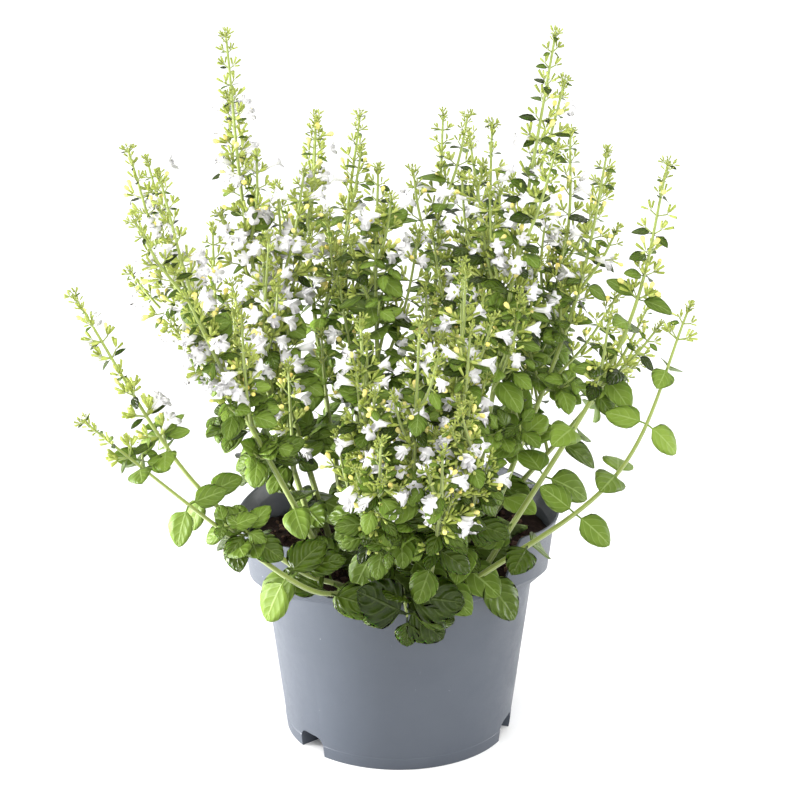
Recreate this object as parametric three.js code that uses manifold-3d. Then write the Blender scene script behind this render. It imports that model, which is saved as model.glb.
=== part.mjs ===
// A lesser calamint in flower, standing in the plastic pot that it was grown in.
// Millimetres, +Z up, -Y towards the viewer. The origin is on the pot's axis, on the
// surface that the pot stands on.

import * as THREE from "three";
import { mergeVertices } from "three/addons/utils/BufferGeometryUtils.js";
import Module from "manifold-3d";

const wasm = await Module();
wasm.setup();

// Driving dimensions of the pot
const FOOT_RADIUS = 83;
const BODY_TAPER = 0.122;
const WALL = 1.8;
const FLOOR = 3;
const CREASE_HEIGHT = 133;
const CREASE_RADIUS = FOOT_RADIUS + BODY_TAPER * CREASE_HEIGHT;
const CREASE_DIP = 21;
const RIM_HEIGHT = 139;
const EAR_HEIGHT = 167;
const EAR_SHOULDER_RISE = 6;
const EAR_STEP = 12.6;
const LIP_STEP = 1.4;
const EAR_FLARE = 0.19;
const LIP_FLARE = 0.03;
const EAR_FLAT_END = THREE.MathUtils.degToRad(43);
const EAR_FOOT_END = THREE.MathUtils.degToRad(53);
const EAR_AXIS = THREE.MathUtils.degToRad(7.5);
const POT_SIDES = 40;

// How closely the flare and the crease's dip gather at the ears' axis, and where the wall
// of an ear bends outwards between its collar and its rim
const FLARE_POWER = 3;
const DIP_POWER = 6;
const WAIST_OUT = 0.45;
const WAIST_UP = 0.7;

// Drain channels, which open at arched notches in the foot
const DRAIN_ANGLES = [101, 221, 341].map(THREE.MathUtils.degToRad);
const DRAIN_WIDTH = 25;
const DRAIN_HEIGHT = 15;
const DRAIN_START = 34;
const DRAIN_ROUNDING = 0.6;
const DRAIN_HOLE_RADIUS = 5;
const DRAIN_HOLE_AT = 52;
const DRAIN_HOLE_SIDES = 10;

// Soil
const GAP = 0.35;
const SOIL_EDGE = 133;
const SOIL_EAR_RISE = 15;
const SOIL_CROWN = 146;
const SOIL_RELIEF = 1.6;
const CLOD_SIZE = 7.5;
const CLOD_BEND = 1.5;
const SOIL_RINGS = [130, 95, 60, 25];
const SOIL_SIDES = 20;

// Stems
const ROOT_DEPTH = 22;
const COLLAR = 3;
const STEM_SIDES = 4;
const STEM_RADIUS = 2.4;
const STEM_TIP_RADIUS = 0.8;
const STEM_SAG = 1.8;
const BEND_STEPS = 20;

// Leaves, from the lowest pair to the highest, with their faces turned to the light and a
// little to the open air round the plant
const LEAF_LENGTH = 34;
const TOP_LEAF_LENGTH = 20;
const LEAF_WIDTH_SHARE = 0.8;
const LEAF_SIZES = [0.85, 1.1];
const LEAF_THICKNESS = 0.8;
const LEAF_DROOP = 0.24;
const LEAF_FOLD = 0.16;
const LEAF_RISE = [-0.45, 0.4];
const LEAF_TWIST = 0.45;
const LEAF_OPENING = 0.4;
const LIGHT = [-0.1, -0.55, 1];
const LEAF_SPACING = 42;
const PAIR_SHIFT = 0.2;
const FEWEST_PAIRS = 3;
const LOWEST_LEAF = 9;
const SHORT_STEM = 120;

// A leaf's outline: its stalk, how far its belly lies towards the stalk and how round it is
const STALK_SHARE = 0.16;
const STALK_LEAST = 1;
const STALK_HALF_WIDTH = 0.5;
const BELLY = 0.8;
const ROUNDNESS = 0.6;

// Points along each side of a leaf's edge, for leaves of at least each length
const EDGE_POINTS = [[29, 3], [18, 2], [0, 1]];

// Flower whorls, buds and blooms
const WHORL_SPACING = 38;
const TOP_WHORL_SPACING = 22;
const TOP_WHORL_BELOW_TIP = 3;
const FULL_WHORLS_END = 0.4;
const LAST_BLOOMS = 0.8;
const CALYX_REACH = 18;
const TOP_CALYX_REACH = 8;
const CALYX_RADIUS = 2;
const CALYX_SLIMMEST = 0.6;
const CALYX_WIDEST_AT = 0.78;
const CALYX_SIZES = [0.85, 1.15];
const CALYX_RISE = [0.35, 0.8];
const CALYX_TURN = [0.3, 0.6];
const BLOOM_REACH = 18;
const BLOOM_LEAN = 0.5;
const BLOOM_TUBE_RADIUS = 1.4;
const BLOOM_TUBE_END = 0.78;
const BLOOM_THROAT = 0.88;

// How far a bloom's lobes and the notches between them spread: the upper lip first, and
// half way round, the longest lobe of the lower lip
const BLOOM_LOBES = [4.4, 2, 5.6, 3, 7, 3, 5.6, 2];

// Side spikes: where on the stem they start and how long they are as shares of its length,
// how far they spread, and where their whorls begin. The last three of each stem are too
// fine for its solid.
const SIDE_START = [0.38, 0.74];
const SIDE_LENGTHS = [0.17, 0.3];
const SIDE_SPREAD = 0.3;
const SIDE_RISE = 0.94;
const SIDE_BEND = 0.6;
const SIDE_LEAFY = 0.25;
const SIDE_RADIUS = 1.3;
const SIDE_LEAF_LENGTH = 17;
const SIDE_SEED = 1000;
const FINE_SIDES = 3;
const GOLDEN_ANGLE = THREE.MathUtils.degToRad(137.5);

// Room between neighbouring stems, and the limits below which corners and slivers merge
const CLEARANCE = 0.35;
const SAME_POINT = 1e-4;
const SLIVER = 0.06;

// Each stem's name, its place in the soil, the points that it passes up to its tip, how
// far up it is leafy before its whorls begin, how likely a calyx is to be an open bloom,
// and how many side spikes it has
const STEMS = [
  ["tall_left", [-50, -8], [[-104, 24, 349], [-120, 34, 512]], 0.42, 0.3, 4],
  ["left_thick", [-50, -52], [[-131, -88, 336], [-158, -92, 446]], 0.45, 0.45, 5],
  ["left_back", [-60, 8], [[-161, 40, 323], [-194, 62, 422]], 0.45, 0.3, 4],
  ["left_low", [-41, -77], [[-70, -114, 172], [-139, -108, 233], [-219, -84, 360]], 0.62, 0.1, 2],
  ["left_shoot", [-33, -85], [[-62, -122, 160], [-120, -124, 205], [-211, -128, 286]], 0.8, 0, 0],
  ["left_upright", [-58, -28], [[-93, -14, 288], [-90, -10, 380]], 0.45, 0.35, 4],
  ["back_left_a", [-40, 22], [[-65, 92, 328], [-61, 132, 429]], 0.5, 0.14, 3],
  ["back_left_b", [-22, 38], [[-40, 120, 320], [-29, 176, 419]], 0.5, 0.14, 3],
  ["leafy_mid", [-10, 14], [[-16, 10, 332], [-14, 6, 424]], 0.72, 0.12, 3],
  ["back_mid", [14, 42], [[29, 130, 319], [34, 192, 415]], 0.45, 0.12, 3],
  ["mid_right", [26, 6], [[60, 44, 342], [51, 76, 430]], 0.55, 0.12, 3],
  ["back_right", [34, 40], [[65, 104, 333], [70, 150, 419]], 0.5, 0.1, 3],
  ["tall_right", [46, -46], [[83, -16, 370], [107, -4, 521]], 0.48, 0.2, 4],
  ["right_a", [54, 10], [[122, 84, 339], [127, 124, 420]], 0.55, 0.1, 3],
  ["right_b", [60, -18], [[128, 14, 331], [148, 40, 427]], 0.55, 0.08, 3],
  ["right_long", [58, -60], [[156, -62, 327], [182, -50, 443]], 0.66, 0.02, 1],
  ["right_low", [44, -78], [[150, -102, 238], [195, -100, 358]], 0.85, 0, 0],
  ["right_back", [66, 28], [[157, 90, 236], [192, 124, 290]], 0.6, 0.05, 1],
  ["front_a", [-6, -68], [[-21, -118, 275], [-25, -130, 358]], 0.42, 0.4, 4],
  ["front_b", [8, -76], [[11, -128, 272], [14, -142, 359]], 0.42, 0.4, 3],
  ["front_c", [26, -66], [[42, -84, 291], [45, -92, 379]], 0.45, 0.25, 4],
  ["front_d", [-16, -58], [[-13, -150, 237], [-11, -178, 291]], 0.4, 0.4, 3],
  ["front_e", [20, -84], [[28, -150, 230], [29, -172, 281]], 0.4, 0.4, 2],
  ["front_f", [38, -62], [[52, -130, 247], [41, -150, 300]], 0.4, 0.3, 2],
  ["front_droop", [2, -90], [[3, -104, 152], [6, -120, 138]], 1, 0, 0],
].map(([name, ...rest]) => [`stem_${name}`, ...rest]);

// Colours and finishes
const PLASTIC = { color: 0x6f7c88, roughness: 0.62, metalness: 0 };
const PEAT = { color: 0x38282a, roughness: 0.97, metalness: 0 };
const FOLIAGE = { color: 0x5f8a2f, roughness: 0.6, metalness: 0 };

// A seeded run of numbers from 0 up to 1, the same on every run
function seeded(seed) {
  let state = seed * 7919 + 17;
  return () => {
    state = (Math.imul(state, 1664525) + 1013904223) >>> 0;
    return state / 2 ** 32;
  };
}

const mix = THREE.MathUtils.lerp;
const smooth = THREE.MathUtils.smoothstep;

// Turn a closed geometry into a solid that can be joined and cut
function solid(geometry) {
  const bare = geometry.clone();
  bare.deleteAttribute("normal");
  bare.deleteAttribute("uv");
  const merged = mergeVertices(bare, SAME_POINT);
  const corners = merged.index.array;
  const kept = [];
  for (let i = 0; i < corners.length; i += 3) {
    const [a, b, c] = corners.slice(i, i + 3);
    if (a !== b && b !== c && c !== a) kept.push(a, b, c);
  }
  const vertProperties = new Float32Array(merged.attributes.position.array);
  return new wasm.Manifold(new wasm.Mesh({ numProp: 3, vertProperties, triVerts: new Uint32Array(kept) }));
}

function geometryOf(body) {
  const { vertProperties, triVerts } = body.getMesh();
  const geometry = new THREE.BufferGeometry();
  geometry.setAttribute("position", new THREE.BufferAttribute(vertProperties, 3));
  geometry.setIndex(new THREE.BufferAttribute(triVerts, 1));
  geometry.computeVertexNormals();
  return geometry;
}

// The largest body, without any loose scrap or sliver faces
function mainBody(body) {
  const bodies = body.asOriginal().simplify(SLIVER).decompose();
  return bodies.reduce((best, one) => (one.volume() > best.volume() ? one : best));
}

// A closed shape turned round Z, whose section may change with the angle
function turned(sectionAt, sides) {
  const rows = sectionAt(0).length;
  const outline = sectionAt(0).map(([radius, height]) => new THREE.Vector2(radius, height));
  const geometry = new THREE.LatheGeometry(outline, sides);
  const position = geometry.attributes.position;
  for (let i = 0; i <= sides; i += 1) {
    const angle = ((i % sides) / sides) * 2 * Math.PI;
    const section = sectionAt(angle);
    for (let j = 0; j < rows; j += 1) {
      const [radius, height] = section[j];
      position.setXYZ(i * rows + j, radius * Math.cos(angle), radius * Math.sin(angle), height);
    }
  }
  return geometry;
}

// Pot

// The wall's rows at an angle from the ears' axis, from the foot to the rim
function potWall(angle) {
  const towardsEar = Math.abs(Math.cos(angle));
  const fromAxis = Math.acos(towardsEar);
  const flare = towardsEar ** FLARE_POWER;
  const raised = 1 - smooth(fromAxis, EAR_FLAT_END, EAR_FOOT_END);
  const creaseZ = CREASE_HEIGHT - CREASE_DIP * towardsEar ** DIP_POWER;
  const creaseR = FOOT_RADIUS + BODY_TAPER * creaseZ;
  const collarR = creaseR + mix(LIP_STEP, EAR_STEP, flare);
  const collarZ = creaseZ + mix(LIP_STEP, EAR_STEP, flare);
  const earZ = EAR_HEIGHT + EAR_SHOULDER_RISE * (fromAxis / EAR_FLAT_END) ** 2;
  const rimZ = mix(RIM_HEIGHT, earZ, raised);
  const rimR = collarR + (rimZ - collarZ) * mix(LIP_FLARE, EAR_FLARE, flare);
  const waist = [mix(collarR, rimR, WAIST_OUT), mix(collarZ, rimZ, WAIST_UP)];
  return [[FOOT_RADIUS, 0], [creaseR, creaseZ], [collarR, collarZ], waist, [rimR, rimZ]];
}

function inset(row, distance) {
  return [row[0] - distance, row[1]];
}

function potSection(angle) {
  const [foot, crease, collar, waist, rim] = potWall(angle);
  const inside = [rim, waist, collar, crease].map((row) => inset(row, WALL));
  const corner = [FOOT_RADIUS - WALL + BODY_TAPER * FLOOR, FLOOR];
  return [[0, 0], foot, crease, collar, waist, rim, ...inside, corner, [0, FLOOR]];
}

// An arched tunnel that runs out along X, from the pot's middle past its foot
function drainTunnel(extra, start, end) {
  const half = DRAIN_WIDTH / 2 + extra;
  const height = DRAIN_HEIGHT + extra;
  const round = half * DRAIN_ROUNDING;
  const arch = new THREE.Shape();
  arch.moveTo(half, -FLOOR);
  arch.lineTo(half, height - round);
  arch.quadraticCurveTo(half, height, half - round, height);
  arch.lineTo(round - half, height);
  arch.quadraticCurveTo(-half, height, -half, height - round);
  arch.lineTo(-half, -FLOOR);
  const settings = { depth: end - start, bevelEnabled: false, curveSegments: 2 };
  const geometry = new THREE.ExtrudeGeometry(arch, settings);
  geometry.rotateX(Math.PI / 2);
  geometry.rotateZ(Math.PI / 2);
  geometry.translate(start, 0, 0);
  return geometry;
}

function drains(extra, start, end) {
  return DRAIN_ANGLES.map((angle) => solid(drainTunnel(extra, start, end).rotateZ(angle)));
}

function drainHoles() {
  return DRAIN_ANGLES.map((angle) => {
    const [radius, height] = [DRAIN_HOLE_RADIUS, 2 * DRAIN_HEIGHT];
    const hole = new THREE.CylinderGeometry(radius, radius, height, DRAIN_HOLE_SIDES);
    hole.rotateX(Math.PI / 2);
    hole.translate(DRAIN_HOLE_AT, 0, DRAIN_HEIGHT);
    return solid(hole.rotateZ(angle));
  });
}

function potSolid() {
  const shell = solid(turned(potSection, POT_SIDES).rotateZ(EAR_AXIS));
  const roofs = wasm.Manifold.union(drains(WALL, DRAIN_START - WALL, FOOT_RADIUS - WALL));
  const size = 2 * CREASE_RADIUS;
  const aboveFloor = solid(new THREE.BoxGeometry(size, size, size).translate(0, 0, (size + FLOOR) / 2));
  const channels = wasm.Manifold.union(drains(0, DRAIN_START, CREASE_RADIUS));
  const holes = wasm.Manifold.union(drainHoles());
  return shell.add(roofs.intersect(aboveFloor)).subtract(channels).subtract(holes);
}

// Soil

// Clods and hollows of the soil's surface: two waves, each bent by a slower one
function relief(x, y) {
  const along = Math.sin(x / CLOD_SIZE + CLOD_BEND * Math.sin(y / (2 * CLOD_SIZE)));
  const across = Math.sin(y / CLOD_SIZE + CLOD_BEND * Math.cos(x / (2 * CLOD_SIZE)));
  return (SOIL_RELIEF * (along + across)) / 2;
}

function soilHeight(x, y) {
  const angle = Math.atan2(y, x) - EAR_AXIS;
  const edge = SOIL_EDGE + SOIL_EAR_RISE * Math.abs(Math.cos(angle)) ** FLARE_POWER;
  const share = Math.min(Math.hypot(x, y) / CREASE_RADIUS, 1);
  return mix(SOIL_CROWN, edge, share ** 2) + relief(x, y);
}

// The room inside the wall. Its rows run down from the rim as the wall's inside does, so
// the facets of both match, and its faces are then turned to point outwards.
function potRoom() {
  const section = (angle) => {
    const inside = potWall(angle).slice(1).reverse().map((row) => inset(row, WALL + GAP));
    const corner = [FOOT_RADIUS - WALL - GAP + BODY_TAPER * FLOOR, FLOOR + GAP];
    return [[0, EAR_HEIGHT], ...inside, corner, [0, FLOOR + GAP]];
  };
  const geometry = turned(section, POT_SIDES).rotateZ(EAR_AXIS);
  const corners = geometry.index.array;
  for (let i = 0; i < corners.length; i += 3) {
    [corners[i], corners[i + 1]] = [corners[i + 1], corners[i]];
  }
  return solid(geometry);
}

// Everything below the soil's surface, out past the wall
function heap() {
  const section = (angle) => {
    const rings = SOIL_RINGS.map((radius) => {
      return [radius, soilHeight(radius * Math.cos(angle), radius * Math.sin(angle))];
    });
    return [[0, 0], [SOIL_RINGS[0], 0], ...rings, [0, soilHeight(0, 0)]];
  };
  return solid(turned(section, SOIL_SIDES));
}

function soilSolid(holes) {
  const filling = potRoom().intersect(heap());
  const roofs = wasm.Manifold.union(drains(WALL + GAP, DRAIN_START - WALL - GAP, FOOT_RADIUS));
  return mainBody(filling.subtract(roofs).subtract(wasm.Manifold.union(holes)));
}

// Stems

// A way through the air between two radii, with a straight buried end where it comes out
// of the soil, and full whorls up to a share of its flowering part. It keeps to a smooth
// curve, in straight stretches between rings that are close enough for them to sag little.
class Route {
  constructor(points, radii, buried, fullEnd) {
    this.curve = new THREE.CatmullRomCurve3(points, false, "centripetal");
    this.heading = this.curve.getTangentAt(0);
    this.radii = radii;
    this.buried = buried;
    this.fullEnd = fullEnd;
    this.length = this.curve.getLength();
    this.steps = Math.max(2, Math.ceil(Math.sqrt((this.length * this.bend()) / (8 * STEM_SAG))));
    this.rings = this.curve.getSpacedPoints(this.steps);
  }

  // The angle that its curve turns through in all
  bend() {
    const ways = Array.from({ length: BEND_STEPS + 1 }, (_, i) => this.curve.getTangentAt(i / BEND_STEPS));
    return ways.slice(1).reduce((sum, way, i) => sum + way.angleTo(ways[i]), 0);
  }

  pointAt(length) {
    if (length < 0) return this.rings[0].clone().addScaledVector(this.heading, length);
    const at = this.steps * Math.min(length / this.length, 1);
    const ring = Math.min(Math.floor(at), this.steps - 1);
    return this.rings[ring].clone().lerp(this.rings[ring + 1], at - ring);
  }

  // A point, its direction and two directions across it, at a length along the route
  frameAt(length) {
    const tangent = this.curve.getTangentAt(THREE.MathUtils.clamp(length / this.length, 0, 1));
    const side = new THREE.Vector3(0, 1, 0).cross(tangent).normalize();
    return { point: this.pointAt(length), tangent, side, front: tangent.clone().cross(side) };
  }

  radiusAt(length) {
    return mix(...this.radii, THREE.MathUtils.clamp(length / this.length, 0, 1));
  }
}

function stemRoute([x, y], via) {
  const start = new THREE.Vector3(x, y, soilHeight(x, y) + COLLAR);
  const points = [start, ...via.map((point) => new THREE.Vector3(...point))];
  return new Route(points, [STEM_RADIUS, STEM_TIP_RADIUS], ROOT_DEPTH + COLLAR, FULL_WHORLS_END);
}

// A direction out from the stem: round it by an angle, and risen towards its tip
function outward(frame, angle, rise) {
  const out = frame.side.clone().multiplyScalar(Math.cos(angle));
  out.addScaledVector(frame.front, Math.sin(angle));
  return out.multiplyScalar(Math.cos(rise)).addScaledVector(frame.tangent, Math.sin(rise)).normalize();
}

// The way of one side spike, out from its stem and then up along it
function sideRoute(stem, number, count, draw) {
  const frame = stem.frameAt(stem.length * mix(...SIDE_START, (number + draw()) / count));
  const reach = stem.length * mix(...SIDE_LENGTHS, draw());
  const out = outward(frame, number * GOLDEN_ANGLE + draw(), 0);
  const points = [0, 0.5, 1].map((share) => {
    const point = frame.point.clone().addScaledVector(frame.tangent, reach * SIDE_RISE * share);
    return point.addScaledVector(out, reach * SIDE_SPREAD * share ** SIDE_BEND);
  });
  return new Route(points, [SIDE_RADIUS, STEM_TIP_RADIUS], 0, 0);
}

// A square tube with closed ends through the given lengths of the route
function stemTube(route, lengths, grow) {
  const steps = lengths.length - 1;
  const geometry = new THREE.CylinderGeometry(1, 1, steps, STEM_SIDES, steps);
  const position = geometry.attributes.position;
  for (let i = 0; i < position.count; i += 1) {
    const length = lengths[Math.round(position.getY(i) + steps / 2)];
    const { point, side, front } = route.frameAt(length);
    const radius = route.radiusAt(length) + grow;
    point.addScaledVector(side, position.getZ(i) * radius);
    point.addScaledVector(front, position.getX(i) * radius);
    position.setXYZ(i, point.x, point.y, point.z);
  }
  return geometry;
}

// The lengths at which a tube has its rings, from its start to its tip
function ringLengths(route) {
  return Array.from({ length: route.steps + 1 }, (_, i) => (route.length * i) / route.steps);
}

function stemCore(route) {
  return solid(stemTube(route, [-route.buried, ...ringLengths(route)], 0));
}

// The hole that a stem stands in, a little deeper and wider than the stem
function stemHole(route) {
  const [surface, firstRing] = ringLengths(route);
  return solid(stemTube(route, [-route.buried - GAP, surface, firstRing], GAP * Math.SQRT2));
}

// Leaves

// Half the leaf's outline, on its right side: its stalk's root, then its edge to its tip
function leafEdge(length) {
  const stalk = length * STALK_SHARE + STALK_LEAST;
  const halfWidth = (length * LEAF_WIDTH_SHARE) / 2;
  const [, count] = EDGE_POINTS.find(([shortest]) => length >= shortest);
  const edge = [[0, 0], [stalk, -STALK_HALF_WIDTH]];
  for (let i = 1; i <= count; i += 1) {
    const share = i / (count + 1);
    edge.push([stalk + length * share, -halfWidth * Math.sin(Math.PI * share ** BELLY) ** ROUNDNESS]);
  }
  edge.push([stalk + length, 0]);
  return edge;
}

// A thin blade along X, folded up from its midrib and drooping towards its tip
function leafBlade(length) {
  const half = leafEdge(length);
  const back = half.slice(1, -1).reverse().map(([x, y]) => [x, -y]);
  const outline = [...half, ...back].map((point) => new THREE.Vector2(...point));
  const reach = half[half.length - 1][0];
  const settings = { depth: LEAF_THICKNESS, bevelEnabled: false };
  const geometry = new THREE.ExtrudeGeometry(new THREE.Shape(outline), settings);
  const position = geometry.attributes.position;
  for (let i = 0; i < position.count; i += 1) {
    const droop = LEAF_DROOP * (position.getX(i) / reach) ** 2 * reach;
    const lift = LEAF_FOLD * Math.abs(position.getY(i)) - droop - LEAF_THICKNESS / 2;
    position.setZ(i, position.getZ(i) + lift);
  }
  return geometry;
}

// Calyces, buds and blooms

// A calyx on its thin stalk, or a bud: three-sided, out along X
function calyx(reach) {
  const radius = CALYX_RADIUS * mix(CALYX_SLIMMEST, 1, reach / CALYX_REACH);
  const section = [[0, 0], [radius, reach * CALYX_WIDEST_AT], [0, reach]];
  return turned(() => section, 3).rotateY(Math.PI / 2);
}

// An open bloom along X: a slender tube that spreads into an upper lip and a lower lip
// with three lobes, whose middle lobe is the longest
function bloom(reach) {
  const sides = BLOOM_LOBES.length;
  const section = (angle) => {
    const step = Math.round((angle / (2 * Math.PI)) * sides) % sides;
    const lip = [BLOOM_LOBES[step], reach + (step % 2 ? 0 : 1)];
    return [[0, 0], [BLOOM_TUBE_RADIUS, reach * BLOOM_TUBE_END], lip, [0, reach * BLOOM_THROAT]];
  };
  const geometry = turned(section, sides);
  const position = geometry.attributes.position;
  const rows = section(0).length;
  for (let i = 0; i <= sides; i += 1) {
    const corner = (Math.floor((i % sides) / 2) * 4 * Math.PI) / sides;
    position.setX(i * rows + 1, BLOOM_TUBE_RADIUS * Math.cos(corner));
    position.setY(i * rows + 1, BLOOM_TUBE_RADIUS * Math.sin(corner));
  }
  return geometry.rotateY(Math.PI / 2).rotateX(Math.PI);
}

// Set a piece made along X at a point, pointing along a direction with its face up
function setAt(geometry, point, along, up) {
  const across = up.clone().cross(along).normalize();
  const face = along.clone().cross(across);
  const matrix = new THREE.Matrix4().makeBasis(along, across, face).setPosition(point);
  return geometry.applyMatrix4(matrix);
}

// What is placed already, so that nothing that comes later crosses it
const placed = [];

function reachesInto(box, other) {
  const near = (k) => box.min[k] - CLEARANCE < other.max[k] && other.min[k] - CLEARANCE < box.max[k];
  return [0, 1, 2].every(near);
}

function isClear(body, owner) {
  const box = body.boundingBox();
  return placed.every((one) => {
    if (one.owner === owner || !reachesInto(box, one.box)) return true;
    return body.minGap(one.body, 1) >= CLEARANCE;
  });
}

function keep(body, owner) {
  placed.push({ body, owner, box: body.boundingBox() });
}

// The turns aside, the lifts and the sizes at which a piece is tried, first at its place;
// it is left out if it crosses something at all of them
const TRIES = [
  [0, 0, 1], [0.3, 0.1, 1], [-0.3, 0.1, 1],
  [0.6, 0.25, 0.9], [-0.6, 0.25, 0.9], [0, 0.5, 0.8],
];

function fitted(make, frame, angle, rise, up, owner) {
  for (const [turn, lift, scale] of TRIES) {
    const along = outward(frame, angle + turn, rise + lift);
    const body = solid(setAt(make(scale), frame.point, along, up));
    if (isClear(body, owner)) {
      keep(body, owner);
      return [body];
    }
  }
  return [];
}

// Which way a leaf's face turns at a point of the plant
function leafFace(point) {
  const openAir = new THREE.Vector3(point.x, point.y, 0).normalize();
  return new THREE.Vector3(...LIGHT).addScaledVector(openAir, LEAF_OPENING);
}

function leafPair(frame, angle, length, draw, owner) {
  const up = leafFace(frame.point);
  return [0, Math.PI].flatMap((side) => {
    const own = length * mix(...LEAF_SIZES, draw());
    const rise = mix(...LEAF_RISE, draw());
    const turn = angle + side + mix(-LEAF_TWIST, LEAF_TWIST, draw());
    return fitted((scale) => leafBlade(own * scale), frame, turn, rise, up, owner);
  });
}

// Calyces on both sides of the stem, two on a side in a full whorl and one in others, of
// which some are open blooms
function whorl(frame, angle, share, isFull, chance, draw, owner) {
  const reach = mix(CALYX_REACH, TOP_CALYX_REACH, share);
  const halves = isFull ? [1, -1] : [0];
  return [0, Math.PI].flatMap((side) => halves.flatMap((half) => {
    const own = reach * mix(...CALYX_SIZES, draw());
    const rise = mix(...CALYX_RISE, draw());
    const turn = angle + side + half * mix(...CALYX_TURN, draw());
    const isOpen = draw() < chance && share < LAST_BLOOMS;
    const make = isOpen ? () => bloom(BLOOM_REACH) : (scale) => calyx(own * scale);
    return fitted(make, frame, turn, isOpen ? rise * BLOOM_LEAN : rise, frame.tangent, owner);
  }));
}

// Whorls from a spike's tip down to its start, closer together towards the tip
function spike(route, start, firstTurn, chance, draw, owner) {
  const pieces = [];
  let turn = firstTurn;
  for (let length = route.length - TOP_WHORL_BELOW_TIP; length > start;) {
    const share = (length - start) / (route.length - start);
    pieces.push(...whorl(route.frameAt(length), turn, share, share < route.fullEnd, chance, draw, owner));
    length -= mix(WHORL_SPACING, TOP_WHORL_SPACING, share);
    turn += Math.PI / 2;
  }
  return pieces;
}

// A stem's way and its tube, before anything is set on it
function stemFrame([name, root, via, leafy, chance, sides], number) {
  const route = stemRoute(root, via);
  return { name, number, route, leafy, chance, sides, core: stemCore(route), spikes: [] };
}

// Add the side spikes whose tubes cross nothing
function addSideTubes(stem) {
  for (let side = 0; side < stem.sides - FINE_SIDES; side += 1) {
    const draw = seeded(SIDE_SEED * (side + 1) + stem.number);
    const route = sideRoute(stem.route, side, stem.sides, draw);
    const core = stemCore(route);
    if (isClear(core, stem.name)) {
      keep(core, stem.name);
      stem.spikes.push({ route, core, draw });
    }
  }
}

// A side spike: its tube, one pair of leaves near its foot, and its whorls
function sideSpike({ route, core, draw }, chance, owner) {
  const start = route.length * SIDE_LEAFY;
  const turn = draw() * Math.PI;
  const pair = leafPair(route.frameAt(start / 2), turn, SIDE_LEAF_LENGTH, draw, owner);
  return [core, ...pair, ...spike(route, start, turn + Math.PI / 2, chance, draw, owner)];
}

// A stem with its pairs of leaves, from the highest down, its whorls and its side spikes
function stemSolid({ name, number, route, leafy, chance, core, spikes }) {
  const draw = seeded(number + 1);
  const pieces = [core];
  let turn = draw() * Math.PI;
  const leafyEnd = route.length * leafy;
  const spacing = Math.min(LEAF_SPACING, leafyEnd / FEWEST_PAIRS);
  const highest = leafyEnd - PAIR_SHIFT * spacing * draw();
  for (let length = highest; length > LOWEST_LEAF; length -= spacing) {
    const size = mix(LEAF_LENGTH, TOP_LEAF_LENGTH, length / Math.max(leafyEnd, SHORT_STEM));
    pieces.push(...leafPair(route.frameAt(length), turn, size, draw, name));
    turn += Math.PI / 2;
  }
  pieces.push(...spike(route, leafyEnd, turn, chance, draw, name));
  spikes.forEach((side) => pieces.push(...sideSpike(side, chance, name)));
  return mainBody(wasm.Manifold.union(pieces));
}

function node(name, body, finish) {
  const mesh = new THREE.Mesh(geometryOf(body), new THREE.MeshStandardMaterial(finish));
  mesh.name = name;
  return mesh;
}

const plant = new THREE.Group();
const stems = STEMS.map(stemFrame);
const pot = potSolid();
const soil = soilSolid(stems.map((stem) => stemHole(stem.route)));
keep(pot, "pot");
keep(soil, "soil");
stems.forEach((stem) => keep(stem.core, stem.name));
stems.forEach(addSideTubes);
plant.add(node("pot", pot, PLASTIC));
plant.add(node("soil", soil, PEAT));
stems.forEach((stem) => plant.add(node(stem.name, stemSolid(stem), FOLIAGE)));

export default plant;
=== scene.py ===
# A lesser calamint in flower, in the plastic pot that it was grown in, dressed for a studio
# picture. Shapes are made in millimetres and each finished piece is handed over in metres.

import math
from random import Random

import bmesh
import bpy
import numpy as np
from mathutils import Matrix, Vector, noise


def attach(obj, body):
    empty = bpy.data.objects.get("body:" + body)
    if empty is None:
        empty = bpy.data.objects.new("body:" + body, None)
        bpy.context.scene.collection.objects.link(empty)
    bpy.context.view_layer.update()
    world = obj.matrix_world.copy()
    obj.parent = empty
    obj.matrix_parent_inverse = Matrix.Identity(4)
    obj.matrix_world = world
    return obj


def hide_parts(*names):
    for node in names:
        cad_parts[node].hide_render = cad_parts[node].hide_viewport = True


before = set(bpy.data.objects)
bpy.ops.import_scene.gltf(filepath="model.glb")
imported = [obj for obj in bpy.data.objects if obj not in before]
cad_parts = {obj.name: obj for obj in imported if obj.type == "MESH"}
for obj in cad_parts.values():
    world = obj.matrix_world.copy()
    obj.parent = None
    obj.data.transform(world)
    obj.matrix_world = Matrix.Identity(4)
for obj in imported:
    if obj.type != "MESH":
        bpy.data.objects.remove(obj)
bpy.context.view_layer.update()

MM = 0.001
TOUCHING = 0.001
FULL_TURN = 2 * math.pi
QUARTER_TURN = math.pi / 2
BOTH_SIDES = (0, math.pi)
SKIN = "skin"
TONE = "tone"

# The pot, as in the solid model
FOOT_RADIUS = 83
BODY_TAPER = 0.122
WALL = 1.8
FLOOR = 3
CREASE_HEIGHT = 133
CREASE_RADIUS = FOOT_RADIUS + BODY_TAPER * CREASE_HEIGHT
CREASE_DIP = 21
RIM_HEIGHT = 139
EAR_HEIGHT = 167
EAR_SHOULDER_RISE = 6
EAR_STEP = 12.6
LIP_STEP = 1.4
EAR_FLARE = 0.19
LIP_FLARE = 0.03
EAR_FLAT_END = math.radians(43)
EAR_FOOT_END = math.radians(53)
EAR_AXIS = math.radians(7.5)
FLARE_POWER = 3
DIP_POWER = 6
WAIST_OUT = 0.45
WAIST_UP = 0.7
DRAIN_ANGLES = [math.radians(degrees) for degrees in (101, 221, 341)]
DRAIN_WIDTH = 25
DRAIN_HEIGHT = 15
DRAIN_START = 34
DRAIN_ROUNDING = 0.6
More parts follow.
